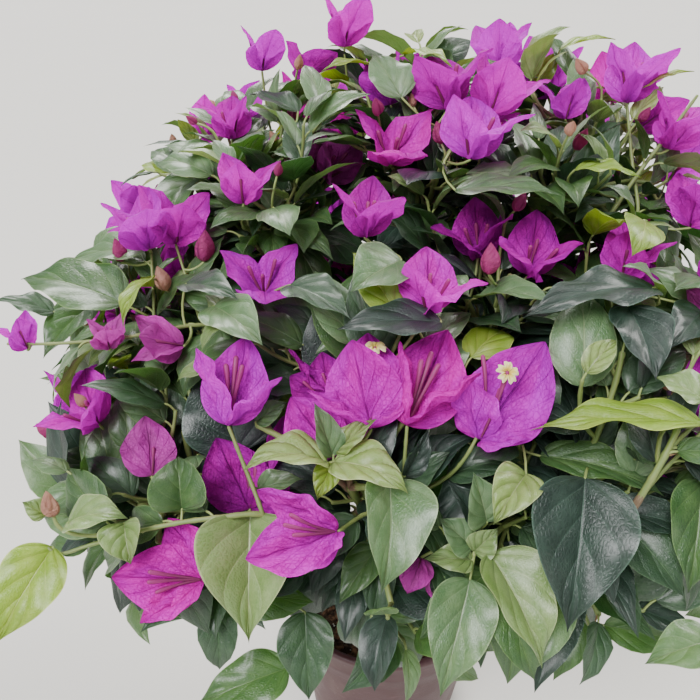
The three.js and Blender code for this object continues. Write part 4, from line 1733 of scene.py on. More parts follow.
PLACED_BLOOMS = (
    PlacedBloom((422, 557), (-0.25, -0.9, 0.3), 20, 20, 0.34, BractTint.PALE, 350),
    PlacedBloom((54, 517), (-0.2, 0.95, 0.2), 0, 14, 0.14, BractTint.PEACH, 345),
    PlacedBloom((49, 511), (0.1, 0.95, 0.3), 40, 9, 0.14, BractTint.PEACH, 343),
    PlacedBloom((150, 250), (-0.2, 0.85, 0.45), 30, 40, 0.45, BractTint.CLEAR, 436),
    PlacedBloom((176, 245), (0.25, 0.85, 0.45), 60, 40, 0.49, BractTint.BRIGHT, 440),
    PlacedBloom((204, 262), (0.1, 0.95, 0.3), 10, 20, 0.14, BractTint.BUD, 432),
    PlacedBloom((122, 262), (-0.2, 0.9, 0.3), 30, 15, 0.14, BractTint.BUD, 432),
    PlacedBloom((167, 291), (-0.3, 0.9, 0.3), 50, 16, 0.16, BractTint.PEACH, 422),
    PlacedBloom((264, 296), (0.0, 0.8, 0.6), 95, 36, 0.74, BractTint.CLEAR, 400),
    PlacedBloom((110, 350), (-0.1, 0.85, 0.4), 20, 22, 0.49, BractTint.PALE, 392),
    PlacedBloom((184, 346), (-0.85, 0.1, 0.5), 60, 30, 0.37, BractTint.PALE, 392),
    PlacedBloom((28, 350), (-0.3, 0.8, 0.4), 60, 22, 0.41, BractTint.CLEAR, 388),
    PlacedBloom((427, 312), (0.1, 0.85, 0.5), 20, 36, 0.61, BractTint.BRIGHT),
    PlacedBloom((478, 258), (-0.15, 0.85, 0.5), 40, 38, 0.53, BractTint.DEEP, 420),
    PlacedBloom((528, 276), (0.2, 0.75, 0.6), 0, 40, 0.61, BractTint.BRIGHT, 410),
    PlacedBloom((489, 275), (0.0, 0.95, 0.3), 0, 17, 0.14, BractTint.BUD),
    PlacedBloom((365, 238), (0.0, 0.9, 0.4), 30, 36, 0.49, BractTint.DEEP),
    PlacedBloom((390, 165), (0.05, 0.75, 0.65), 90, 42, 0.7, BractTint.HOT, 440),
    PlacedBloom((470, 160), (0.1, 0.85, 0.45), 20, 44, 0.57, BractTint.CLEAR),
    PlacedBloom((448, 110), (-0.2, 0.85, 0.4), 70, 44, 0.57, BractTint.DEEP),
    PlacedBloom((490, 115), (0.25, 0.85, 0.4), 30, 42, 0.53, BractTint.BRIGHT),
    PlacedBloom((344, 48), (0.0, 0.9, 0.4), 20, 40, 0.49, BractTint.BRIGHT),
    PlacedBloom((498, 72), (0.1, 0.9, 0.4), 60, 38, 0.49, BractTint.CLEAR),
    PlacedBloom((627, 104), (0.0, 0.92, 0.4), 30, 42, 0.41, BractTint.CLEAR, 460),
    PlacedBloom((668, 150), (0.2, 0.85, 0.5), 80, 40, 0.57, BractTint.BRIGHT, 450),
    PlacedBloom((690, 228), (0.2, 0.85, 0.5), 10, 38, 0.57, BractTint.BRIGHT),
    PlacedBloom((565, 120), (0.0, 0.9, 0.4), 0, 30, 0.49, BractTint.CLEAR),
    PlacedBloom((232, 140), (0.0, 0.9, 0.4), 50, 34, 0.49, BractTint.BRIGHT),
    PlacedBloom((262, 72), (0.0, 0.9, 0.4), 20, 34, 0.49, BractTint.CLEAR),
)

PLACED_LEAVES = (
    PlacedLeaf((250, 515), (249, 643), 61, LeafTint.LIGHT, (353, 341), (0.04, 0.3, 0.95), 0.6, 0.8, 1.45),
    PlacedLeaf((390, 480), (381, 592), 45, LeafTint.SAGE, (346, 328), (0.3, 0.35, 0.9), 0.9, 0.75, 1.2),
    PlacedLeaf((327, 463), (248, 471), 29, LeafTint.YOUNG, (345, 336), (0.0, 0.85, 0.5), 1.45, 0.45),
    PlacedLeaf((334, 462), (405, 493), 31, LeafTint.YOUNG, (345, 334), (0.1, 0.75, 0.65), 1.25, 0.4),
    PlacedLeaf((332, 464), (317, 500), 15, LeafTint.LIME, (344, 338), (0.0, 0.3, 0.9), 0.6, 0.5),
    PlacedLeaf((333, 456), (314, 402), 18, LeafTint.SAGE, (348, 345), (0.3, 0.2, 0.9), 0.3, 0.7),
    PlacedLeaf((336, 452), (377, 419), 15, LeafTint.YOUNG, (348, 343), (-0.2, 0.5, 0.8), 0.5, 0.5),
    PlacedLeaf((470, 579), (440, 697), 37, LeafTint.SAGE, (347, 334), (-0.05, 0.3, 0.95), 0.45, 0.5, 1.15),
    PlacedLeaf((490, 554), (541, 667), 43, LeafTint.LIGHT, (347, 332), (0.3, 0.4, 0.87), 0.8, 0.7, 1.25),
    PlacedLeaf((472, 560), (424, 559), 17, LeafTint.LIGHT, (348, 341), (0.0, 0.5, 0.85), 0.5, 0.5),
    PlacedLeaf((474, 552), (498, 528), 18, LeafTint.LIGHT, (348, 345), (0.0, 0.3, 0.95), 0.3, 0.6),
    PlacedLeaf((472, 547), (439, 518), 22, LeafTint.SAGE, (349, 345), (0.1, 0.4, 0.9), 0.4, 0.5),
    PlacedLeaf((481, 527), (447, 480), 19, LeafTint.OLD, (353, 348), (0.4, 0.1, 0.9), 0.3, 0.8),
    PlacedLeaf((487, 522), (473, 472), 27, LeafTint.SAGE, (347, 338), (0.0, 0.4, 0.9), 0.5, 0.6),
    PlacedLeaf((405, 476), (429, 427), 16, LeafTint.OLD, (356, 354), (0.4, 0.1, 0.9), 0.2, 0.8),
    PlacedLeaf((404, 484), (450, 452), 22, LeafTint.DEEP, (360, 352), (0.0, 0.5, 0.85), 0.6, 0.5),
    PlacedLeaf((585, 478), (567, 632), 54, LeafTint.OLD, (336, 321), (-0.1, 0.3, 0.95), 0.5, 0.5, 1.2),
    PlacedLeaf((526, 474), (494, 524), 27, LeafTint.YOUNG, (341, 327), (-0.15, 0.45, 0.88), 0.9, 0.6),
    PlacedLeaf((256, 422), (287, 402), 15, LeafTint.FULL, (356, 358), (0.1, 0.5, 0.85), 0.6, 0.5),
    PlacedLeaf((702, 424), (528, 432), 30, LeafTint.LIME, (322, 346), (0.1, 0.85, 0.4), 0.5, 0.4),
    PlacedLeaf((704, 400), (655, 378), 26, LeafTint.LIGHT, (324, 335), (0.0, 0.7, 0.6), 0.6, 0.4),
    PlacedLeaf((540, 456), (662, 496), 27, LeafTint.FULL, (368, 352), (0.1, 0.75, 0.65), 0.8, 0.4),
    PlacedLeaf((702, 480), (688, 593), 36, LeafTint.FULL, (350, 340), (-0.2, 0.3, 0.9), 0.5, 0.6),
    PlacedLeaf((712, 640), (645, 664), 26, LeafTint.SAGE, (338, 330), (0.0, 0.7, 0.7), 0.6, 0.4),
    PlacedLeaf((53, 547), (-2, 642), 34, LeafTint.LIME, (344, 331), (0.15, 0.45, 0.88), 0.7, 0.35),
    PlacedLeaf((68, 523), (126, 519), 25, LeafTint.LIGHT, (346, 341), (0.0, 0.8, 0.6), 1.2, 0.4),
    PlacedLeaf((124, 523), (131, 564), 27, LeafTint.LIGHT, (345, 338), (0.0, 0.35, 0.9), 0.6, 0.85),
    PlacedLeaf((182, 509), (179, 458), 35, LeafTint.FULL, (347, 354), (0.05, 0.5, 0.85), 1.1, 0.75),
    PlacedLeaf((46, 515), (22, 502), 13, LeafTint.LIGHT, (345, 342), (0.0, 0.6, 0.8), 0.4, 0.5),
    PlacedLeaf((258, 489), (303, 479), 16, LeafTint.SAGE, (358, 356), (0.0, 0.6, 0.8), 0.5, 0.6),
    PlacedLeaf((305, 612), (309, 700), 35, LeafTint.DEEP, (402, 396), (0.0, 0.3, 0.95), 0.5, 0.4),
    PlacedLeaf((288, 668), (196, 706), 32, LeafTint.FULL, (402, 396), (0.1, 0.6, 0.8), 0.7, 0.35),
    PlacedLeaf((378, 546), (339, 604), 22, LeafTint.FULL, (372, 362), (-0.2, 0.3, 0.9), 0.5, 0.5),
    PlacedLeaf((240, 452), (212, 352), 56, LeafTint.OLD, (392, 398), (0.0, 0.35, 0.93), 0.3, 0.3),
    PlacedLeaf((124, 304), (22, 280), 44, LeafTint.FULL, None, (0.0, 0.7, 0.7), 0.7, 0.35),
    PlacedLeaf((147, 250), (70, 264), 30, LeafTint.SAGE, None, (0.0, 0.7, 0.7), 0.6, 0.35),
    PlacedLeaf((92, 305), (44, 358), 32, LeafTint.FULL, None, (-0.1, 0.5, 0.85), 0.7, 0.45),
    PlacedLeaf((153, 279), (124, 326), 18, LeafTint.LIME, None, (-0.4, 0.6, 0.6), 0.9, 0.5),
    PlacedLeaf((54, 312), (-6, 300), 24, LeafTint.DEEP, None, (0.0, 0.8, 0.6), 0.5, 0.3),
    PlacedLeaf((214, 306), (263, 346), 30, LeafTint.SAGE, None, (0.0, 0.6, 0.8), 0.6, 0.4),
    PlacedLeaf((186, 284), (238, 300), 24, LeafTint.DEEP, None, (0.0, 0.7, 0.7), 0.6, 0.4),
    PlacedLeaf((401, 260), (351, 292), 36, LeafTint.SAGE, None, (0.0, 0.5, 0.85), 0.6, 0.4),
    PlacedLeaf((290, 285), (350, 319), 28, LeafTint.DEEP, None, (0.0, 0.7, 0.7), 0.6, 0.4),
    PlacedLeaf((441, 322), (337, 330), 30, LeafTint.OLD, None, (0.0, 0.8, 0.6), 0.5, 0.3),
    PlacedLeaf((655, 288), (524, 318), 34, LeafTint.OLD, None, (0.0, 0.8, 0.6), 0.6, 0.3),
    PlacedLeaf((628, 306), (656, 380), 34, LeafTint.OLD, None, (0.1, 0.4, 0.9), 0.5, 0.4),
    PlacedLeaf((702, 312), (671, 348), 28, LeafTint.OLD, None, (0.0, 0.6, 0.8), 0.5, 0.4),
    PlacedLeaf((455, 190), (562, 196), 28, LeafTint.FULL, None, (0.0, 0.8, 0.6), 0.5, 0.3),
    PlacedLeaf((402, 98), (372, 55), 32, LeafTint.SAGE, None, (0.0, 0.4, 0.9), 0.5, 0.4),
    PlacedLeaf((298, 112), (245, 95), 26, LeafTint.DEEP, None, (0.0, 0.8, 0.6), 0.5, 0.4),
    PlacedLeaf((372, 66), (322, 72), 16, LeafTint.LIME, None, (0.0, 0.8, 0.5), 0.6, 0.4),
    PlacedLeaf((405, 55), (452, 68), 16, LeafTint.LIME, None, (0.0, 0.8, 0.5), 0.6, 0.4),
    PlacedLeaf((640, 90), (694, 72), 18, LeafTint.LIME, None, (0.0, 0.8, 0.6), 0.6, 0.4),
    PlacedLeaf((560, 50), (615, 40), 18, LeafTint.LIME, None, (0.0, 0.8, 0.6), 0.6, 0.4),
    PlacedLeaf((575, 170), (640, 178), 20, LeafTint.LIME, None, (0.0, 0.8, 0.6), 0.6, 0.4),
)


# The bush
@dataclass
class Bush:
    """The crown: its twigs, leaves, blooms and buds.

    A leaf or bloom that is placed without a depth lies a share of the way out to the crown's outline.
    A leaf that crosses something is tried smaller, leaning more and turned. A stalk has the radii of its foot
    and tip.
    """

    frame: Framework
    view: View
    seed: int = 7
    leaf_length: tuple[float, float] = (40 * MM, 76 * MM)
    leaf_spacing: tuple[float, float, float] = (14 * MM, 13 * MM, 10 * MM)
    bract_length: tuple[float, float] = (33 * MM, 43 * MM)
    spur_length: tuple[float, float] = (26 * MM, 60 * MM)
    spur_shares: tuple[float, ...] = (0.2, 0.38, 0.55, 0.72, 0.88)
    spur_tries: int = 4
    bloom_tries: int = 7
    bud_spread: float = 0.14
    leaf_foot_share: float = 0.86
    leaf_tip_share: float = 0.93
    bloom_share: float = 0.82
    bare_foot: float = 6 * MM
    leaf_sizes: tuple[float, ...] = (1.0, 0.8, 0.62)
    leaf_leans: tuple[float, ...] = (0.55, 1.2)
    leaf_turns: tuple[float, ...] = (0.0, 0.9, -0.9)
    fine_stalk: tuple[float, float] = (0.75 * MM, 0.6 * MM)
    usual_stalk: tuple[float, float] = (0.85 * MM, 0.7 * MM)
    stout_stalk: tuple[float, float] = (1.0 * MM, 0.85 * MM)
    shoots: list[Shoot] = field(default_factory=list)
    leaves: dict[LeafTint, list[Blade]] = field(default_factory=dict)
    blooms: list[Bloom] = field(default_factory=list)
    stalks: list[tuple[Route, float, float]] = field(default_factory=list)
    thorns: list[tuple[np.ndarray, np.ndarray, float]] = field(default_factory=list)

    def __post_init__(self) -> None:
        """Start with an empty crown."""
        self.chance = np.random.RandomState(self.seed)
        self.crowding = Crowding()
        self.open_view = OpenView(self.view)
        self.leaves = {tint: [] for tint in LeafTint}
        self.wood = np.empty((0, 3))
        self.bearers: list[tuple[Shoot | None, float]] = []
        self.spurs: list[tuple[Shoot, float, Shoot]] = []
        self.forks: list[tuple[Shoot, float, Shoot]] = []

    def grow(self) -> None:
        """Grow the whole crown, from what the photograph places to what fills the rest."""
        self.add_main_shoots()
        self.place_stems()
        leaves = self.place_leaves()
        blooms = self.near_blooms() + self.further_blooms()
        for bloom in blooms:
            self.show_bloom(bloom)
        for bloom in blooms:
            self.join_bloom(bloom)
        self.join_leaves(leaves)
        self.add_spurs()
        self.grow_blooms()
        self.grow_leaves()
        self.fill_gaps()
        for parent, share, child in self.spurs + self.forks:
            if child.last > 0:
                parent.bear(share)

    def note_wood(self, route: Route, shoot: Shoot | None = None) -> None:
        """Remember points along a limb or a stalk, so that later parts can join on there.

        Args:
            route: the middle line.
            shoot: the limb, or None for a stalk.
        """
        shares = np.linspace(0.05, 1, max(3, int(route.length / (3 * MM))))
        self.wood = np.vstack([self.wood, route.at(shares)])
        self.bearers += [(shoot, float(share)) for share in shares]

    def block(self, shoot: Shoot) -> None:
        """Take up a limb's room with a three-sided tube."""
        tube = rings(shoot.route, np.linspace(shoot.foot, shoot.tip, 6), 3)
        self.crowding.add(tube, sheet_faces(6, 3, closed=True))

    def add_main_shoots(self) -> None:
        """Add each mass's stem and twigs by the source's rule."""
        for index, mass in enumerate(self.frame.masses):
            blooms = mass.stem.at(1.0)[2] > self.frame.bloom_from
            stem = Shoot(mass.stem.route(), *self.frame.limbs.stem, 0, blooms)
            twigs = self.frame.twigs_of(index)
            self.shoots += [stem, *twigs]
            self.forks += [(stem, stem.route.share_near(twig.route.at(0.0)), twig) for twig in twigs]
        for shoot in self.shoots:
            self.note_wood(shoot.route, shoot)
            self.block(shoot)

    def joined_route(self, end: np.ndarray, onward: np.ndarray | None = None) -> Route:
        """Lay out a route from near wood to a foot, so that it hides nothing that the photograph shows.

        Args:
            end: the foot of a stem, a leaf or a bloom.
            onward: the way that the leaf or bloom goes on from its foot, or None for a stem.

        Returns:
            The route.
        """
        ahead = self.view.axes[2]
        apart = np.linalg.norm(self.wood - end, axis=1)
        nearer = np.maximum(0.0, (end - self.wood) @ ahead)
        way = np.zeros(3) if onward is None else onward
        astray = np.maximum(0.0, (self.wood - end) @ way + 0.2 * apart)
        ranked = np.argsort(apart + 1.2 * nearer + 1.5 * astray)[:240:3]
        for chosen in [*ranked, ranked[0]]:
            start = self.wood[chosen]
            run = float(np.linalg.norm(end - start))
            middle = (start + end) / 2 + (UP * 0.12 if onward is None else -0.3 * onward) * run
            route = Bezier(start, middle, end).route(12)
            if not self.open_view.hides(route.at(np.linspace(0.0, 0.9, 30))):
                break
        bearer, share = self.bearers[chosen]
        if bearer is not None:
            bearer.bear(share)
        return route

    def place_stems(self) -> None:
        """Add the green stems that show in the photograph, joined on to the twigs behind them."""
        for row in PLACED_STEMS:
            points = np.array([self.view.point(*pixel) for pixel in row.pixels])
            lead = self.joined_route(points[0]).at(np.array([0.0, 0.35, 0.7]))
            route = Route(np.vstack([lead, points]), 3)
            shoot = Shoot(route, row.foot * MM, row.tip * MM, 2, False, placed=True, last=1.0)
            self.shoots.append(shoot)
            self.note_wood(route, shoot)
            self.block(shoot)
            self.open_view.keep(route.at(np.linspace(0.25, 1, 120)))

    def placed_point(self, pixel: tuple[float, float], depth: float | None, share: float) -> np.ndarray:
        """Return the point behind a pixel, at a depth in millimetres or else a share of the way out."""
        crown = self.frame.crown
        return self.view.on_crown(*pixel, crown, share) if depth is None else self.view.point(*pixel, depth)

    def place_leaves(self) -> list[Blade]:
        """Add the leaves that show in the photograph, keep the view to them open and return them."""
        placed = []
        for row in PLACED_LEAVES:
            foot_depth, tip_depth = row.depths or (None, None)
            root = self.placed_point(row.foot, foot_depth, self.leaf_foot_share)
            tip = self.placed_point(row.tip, tip_depth, self.leaf_tip_share)
            ripple = 0.02 + 0.02 * self.chance.rand()
            blade = Blade.between(
                root, tip, self.view.facing(*row.face), row.width * MM, row.arch,
                fold=row.fold, curl=0.14, ripple=ripple, phase=self.chance.rand(),
                twist=self.chance.uniform(-0.15, 0.15), foot_power=0.5, tip_power=row.taper, drip=0.62,
                near=True,
            )
            self.leaves[row.tint].append(blade)
            self.crowding.add(blade.outline(), BLADE_FACES)
            self.open_view.keep(blade.grid(31, 15))
            placed.append(blade)
        return placed

    def join_leaves(self, blades: Sequence[Blade]) -> None:
        """Join placed leaves on to the wood.

        Args:
            blades: the leaves.
        """
        for blade in blades:
            route = self.joined_route(blade.root, blade.along)
            self.stalks.append((route, *self.usual_stalk))
            self.note_wood(route)

    def near_blooms(self) -> list[Bloom]:
        """Return the blooms that the photograph shows in full, each bract in its own place."""
        blooms = []
        for row in NEAR_BLOOMS:
            root = self.view.point(*row.foot)
            tips = [self.view.point(*bract.tip) for bract in row.bracts]
            blades = []
            for number, (bract, tip) in enumerate(zip(row.bracts, tips)):
                inside = self.view.facing(*bract.inside)
                start = root + unit(tip - root) * 0.8 * MM
                phase = 0.37 * number + 0.01 * row.foot[0]
                blades.append(Blade.between(
                    start, tip, inside, bract.width * MM, -bract.arch, fold=bract.fold, curl=0.5 * bract.fold,
                    ripple=0.04, phase=phase, twist=bract.twist, **NEAR_BRACT_OUTLINE,
                ))
            axis = unit(sum(unit(tip - root) for tip in tips))
            tubes = []
            for number, tube in enumerate(row.tubes):
                end = self.view.point(*tube)
                start = root + axis * 1.5 * MM + 0.03 * (end - root)
                run = float(np.linalg.norm(end - start))
                bend = start + unit(axis * 0.5 + unit(end - start)) * 0.5 * run
                tubes.append((Bezier(start, bend, end).route(9), number < row.stars))
            size = float(np.mean([blade.length for blade in blades]))
            blooms.append(Bloom(
                root, axis, 0.0, size, 0.6, row.tint, row.stars, own_bracts=tuple(blades),
                own_tubes=tuple(tubes), star_facing=self.view.facing(*row.star_facing),
            ))
        return blooms

    def show_bloom(self, bloom: Bloom) -> None:
        """Add a placed bloom and keep the view to it open.

        Args:
            bloom: the bloom.
        """
        self.add_bloom(bloom)
        for sheet in [bloom.bud()] if bloom.closed else [blade.grid(31, 15) for blade in bloom.bracts()]:
            self.open_view.keep(sheet)

    def join_bloom(self, bloom: Bloom) -> None:
        """Join a placed bloom on to the wood, where it doesn't sit on it.

        Args:
            bloom: the bloom.
        """
        route = self.joined_route(bloom.root, bloom.axis)
        if route.length > 2 * MM:
            self.stalks.append((route, *self.stout_stalk))
            self.note_wood(route)

    def further_blooms(self) -> list[Bloom]:
        """Return the other blooms that show in the photograph."""
        blooms = []
        for row in PLACED_BLOOMS:
            root = self.placed_point(row.foot, row.depth, self.bloom_share)
            facing, roll = self.view.facing(*row.facing), math.radians(row.roll)
            blooms.append(Bloom(root, facing, roll, row.size * MM, row.spread, row.tint))
        return blooms

    def add_bloom(self, bloom: Bloom) -> None:
        """Add a bloom and take up its room.

        Args:
            bloom: the bloom.
        """
        self.blooms.append(bloom)
        for outline in bloom.outlines():
            self.crowding.add(outline, bloom.outline_faces)

    def outward(self, point: np.ndarray) -> np.ndarray:
        """Return the way out of the crown from a point."""
        return unit(point - np.array([*self.frame.crown.middle, self.frame.crown.heart]))

    def add_spurs(self) -> None:
        """Add the finer side twigs."""
        for shoot in [one for one in self.shoots if one.order < 2]:
            roll = self.chance.uniform(0, TURN)
            for number, share in enumerate(self.spur_shares):
                for attempt in range(self.spur_tries):
                    place = share + self.chance.uniform(-0.06, 0.06)
                    spur = self.spur_from(shoot, place, roll + LEAF_TURN * number + attempt)
                    if spur is not None:
                        self.spurs.append((shoot, place, spur))
                        self.shoots.append(spur)
                        self.block(spur)
                        break
        log.info("side twigs: %d", len(self.spurs))

    def spur_from(self, shoot: Shoot, share: float, roll: float) -> Shoot | None:
        """Return a side twig, or None where it would leave the outline or cross something.

        Args:
            shoot: the limb that it leaves.
            share: where along the limb.
            roll: the angle round the limb.

        Returns:
            The side twig, or None.
        """
        start, along = shoot.route.at(share), shoot.route.along(share)
        right = square_to(ASIDE, along)
        radial = turned(right, along, roll)
        length = self.chance.uniform(*self.spur_length)
        way = unit(radial * 0.8 + along * 0.6 + UP * 0.25 + self.outward(start) * 0.35)
        end = start + way * length
        bend = start + unit(radial + along * 0.5) * 0.45 * length
        route = Bezier(start, bend, end + UP * 0.1 * length).route(9)
        points = route.at(np.linspace(0.3, 1, 5))
        apart = np.linalg.norm(points[:, None] - self.frame.ball_middles, axis=-1)
        if not self.frame.within(points, 0.94) or np.any(apart < self.frame.ball_radii + 4 * MM):
            return None
        ribbon = np.vstack([points[::2], points[::2] + UP * MM])
        if self.open_view.hides(points) or not self.crowding.free(ribbon, sheet_faces(2, 3)):
            return None
        outer = float(self.frame.crown.share(end))
        likely = np.clip((outer - 0.6) / 0.22, 0, 1) * np.clip((end[2] - 0.27) / 0.08, 0, 1)
        return Shoot(route, 1.25 * MM, 0.85 * MM, 2, bool(self.chance.rand() < 0.6 * likely))

    def bract_tint(self) -> BractTint:
        """Return a bract tint by chance."""
        tints = [BractTint.DEEP, BractTint.BRIGHT, BractTint.HOT, BractTint.CLEAR, BractTint.PALE]
        return tints[int(np.searchsorted([0.2, 0.5, 0.68, 0.94], self.chance.rand()))]

    def grow_blooms(self) -> None:
        """Grow clusters of blooms and buds at the ends of the flowering shoots."""
        for shoot in [one for one in self.shoots if one.flowers]:
            tip, along = shoot.route.at(1.0), shoot.route.along(1.0)
            tint = self.bract_tint()
            count = 1 + int(np.searchsorted([0.35, 0.8], self.chance.rand()))
            higher = np.clip((tip[2] - 0.3) / 0.25, 0, 1)
            before = len(self.blooms)
            for _ in range(count):
                size = self.chance.uniform(*self.bract_length) * (1 - 0.12 * higher)
                spread = self.chance.uniform(0.36, 0.8)
                self.try_bloom(tip, along, size, spread, tint, int(self.chance.rand() < 0.3))
            for _ in range(int(self.chance.rand() < 0.35) + int(self.chance.rand() < 0.12)):
                young = BractTint.PEACH if self.chance.rand() < 0.3 else BractTint.BUD
                self.try_bloom(tip, along, self.chance.uniform(8, 15) * MM, self.bud_spread, young)
            if len(self.blooms) > before:
                shoot.bear(1.0)
        log.info("blooms and buds: %d", len(self.blooms))

    def try_bloom(
        self, tip: np.ndarray, along: np.ndarray, size: float, spread: float, tint: BractTint, stars: int = 0
    ) -> None:
        """Add a bloom on a short stalk where it crosses nothing.

        Args:
            tip: the shoot's end.
            along: the shoot's direction there.
            size: the length of a bract.
            spread: how far the bracts open, in radians.
            tint: their colour.
            stars: how many flowers are open.
        """
        for _ in range(self.bloom_tries):
            wander = self.chance.normal(size=3) * 0.42
            axis = unit(along * 0.4 + self.outward(tip) * 0.5 + UP * 0.4 + wander)
            root = tip + axis * self.chance.uniform(9, 24) * MM
            if self.view.is_calm(root):
                continue
            bloom = Bloom(root, axis, self.chance.uniform(0, 2.1), size, spread, tint, stars)
            outlines = bloom.outlines()
            points = np.concatenate(outlines)
            if self.crowding.blocked(tip + 2 * MM * axis, root):
                continue
            if not self.frame.within(points, 1.02) or self.open_view.hides(points):
                continue
            if all(self.crowding.free(outline, bloom.outline_faces) for outline in outlines):
                self.add_bloom(bloom)
                stalk = Bezier(tip, tip + along * 0.45 * float(np.linalg.norm(root - tip)), root).route(8)
                self.stalks.append((stalk, *self.usual_stalk))
                return

    def leaf_tint(self, share: float, order: int, point: np.ndarray) -> LeafTint:
        """Choose a leaf's tint: old near the foot of a limb, young towards the tips and the light.

        Args:
            share: how far along its limb it grows.
            order: the limb's order.
            point: where it grows.

        Returns:
            The tint.
        """
        light = np.clip((float(self.frame.crown.share(point)) - 0.45) / 0.5, 0, 1)
        age = 0.34 * share + 0.1 * order + 0.3 * light + self.chance.normal(0, 0.13)
        if self.view.is_calm(point):
            age -= 0.2
        tints = [LeafTint.OLD, LeafTint.DEEP, LeafTint.FULL, LeafTint.SAGE, LeafTint.LIGHT, LeafTint.YOUNG]
        if age > 0.75 and self.chance.rand() < 0.3:
            return LeafTint.LIME
        return tints[int(np.searchsorted([0.26, 0.44, 0.6, 0.74, 0.88], age))]

    def grow_leaves(self) -> None:
        """Grow leaves along every limb, from the outermost limb inwards."""
        tried = 0
        for shoot in sorted(self.shoots, key=lambda one: -float(self.frame.crown.share(one.route.at(1.0)))):
            spacing = self.leaf_spacing[min(shoot.order, 2)]
            count = int((shoot.route.length - self.bare_foot) / spacing)
            roll = self.chance.uniform(0, TURN)
            for number in range(count, -1, -1):
                share = min(1.0, (self.bare_foot + number * spacing) / shoot.route.length)
                tried += 1
                if self.try_leaf(shoot, share, roll + LEAF_TURN * number):
                    shoot.bear(share)
        log.info("leaves: %d of %d tried", sum(len(rows) for rows in self.leaves.values()), tried)

    def try_leaf(self, shoot: Shoot, share: float, roll: float) -> bool:
        """Grow one leaf where it crosses nothing.

        Args:
            shoot: the limb that bears it.
            share: where along the limb.
            roll: the angle round the limb.

        Returns:
            Whether there was room for it.
        """
        start, along = shoot.route.at(share), shoot.route.along(share)
        tint = self.leaf_tint(share, shoot.order, start)
        high = np.clip((start[2] - 0.26) / 0.26, 0, 1)
        young = 0.34 * share + 0.16 * shoot.order + 0.32 * high + self.chance.uniform(-0.16, 0.16)
        longest = lerp(self.leaf_length[1], self.leaf_length[0], float(np.clip(young, 0, 1)))
        outward = self.outward(start)
        right = square_to(ASIDE, along)
        for size, lean, further in product(self.leaf_sizes, self.leaf_leans, self.leaf_turns):
            radial = turned(right, along, roll + further)
            way = unit(radial + along * lean + outward * 0.35 + UP * 0.12)
            length = longest * size * self.chance.uniform(0.92, 1.08)
            root = start + unit(way + UP * 0.3) * 0.17 * length
            if not self.frame.within(root + way * 0.85 * length, 1.01):
                continue
            tilt = self.chance.normal(size=3) * 0.22
            face = square_to(UP + outward * 0.45 + tilt, way)
            blade = Blade(
                root, way, face, length, length * self.chance.uniform(0.52, 0.66),
                arch=self.chance.uniform(0.5, 1.25), fold=self.chance.uniform(0.25, 0.75),
                curl=self.chance.uniform(0.15, 0.5), twist=self.chance.uniform(-0.35, 0.35),
                ripple=self.chance.uniform(0.01, 0.04), phase=self.chance.rand(), **LEAF_OUTLINE,
            )
            outline = blade.outline()
            if not self.frame.within(outline, 1.01) or self.open_view.hides(blade.grid(7, 5)):
                continue
            if self.crowding.free(outline, BLADE_FACES):
                self.leaves[tint].append(blade)
                self.crowding.add(outline, BLADE_FACES)
                middle = (start + root) / 2 + UP * 0.05 * length
                self.stalks.append((Bezier(start, middle, root).route(6), *self.fine_stalk))
                if shoot.order < 2 and self.chance.rand() < 0.4:
                    way = unit(radial + along * 0.5)
                    self.thorns.append((start, way, self.chance.uniform(5, 9) * MM))
                return True
        return False

    def sight_lines(self) -> list[tuple[np.ndarray, np.ndarray]]:
        """Return lines of sight into the crown: the photograph's own, then level ones from all round."""
        lines = []
        place = np.array(self.view.place)
        pixels = np.arange(2.5, self.view.frame, 4.0)
        for x in pixels:
            lines += [(place, unit(self.view.point(x, y, 300.0) - place)) for y in pixels]
        crown = self.frame.crown
        middle = np.array([*crown.middle, crown.waist])
        for bearing in np.linspace(0, TURN, 10, endpoint=False):
            ahead = -np.array([math.cos(bearing) * 0.94, math.sin(bearing) * 0.94, 0.34])
            right = square_to(cross(ahead, UP), ahead)
            up = cross(right, ahead)
            for across in np.arange(-0.21, 0.215, 0.012):
                for rise in np.arange(-0.09, 0.17, 0.012):
                    lines.append((middle + across * right + rise * up - 0.6 * ahead, ahead))
        return lines

    def fill_gaps(self) -> None:
        """Add dark inner leaves where a line of sight would pass right through the crown."""
        solid = BVHTree.FromPolygons(self.crowding.points, self.crowding.faces)
        shares = np.linspace(0.1, 1, 8)
        wood = np.concatenate([shoot.route.at(shares) for shoot in self.shoots])
        owners = [(shoot, share) for shoot in self.shoots for share in shares]
        added = []
        for origin, ahead in self.sight_lines():
            if solid.ray_cast(origin, ahead)[0] is not None:
                continue
            points = origin + np.arange(0.2, 0.95, 0.01)[:, None] * ahead
            inner = points[self.frame.crown.share(points) < 0.72]
            if len(inner) < 8 or any(other.ray_cast(origin, ahead)[0] is not None for other in added):
                continue
            blade = self.closing_leaf(inner[len(inner) // 3:], ahead, wood, owners)
            if blade is not None:
                points = blade.outline().reshape(-1, 3).tolist()
                added.append(BVHTree.FromPolygons(points, BLADE_FACES.tolist()))
        log.info("inner leaves: %d", len(added))

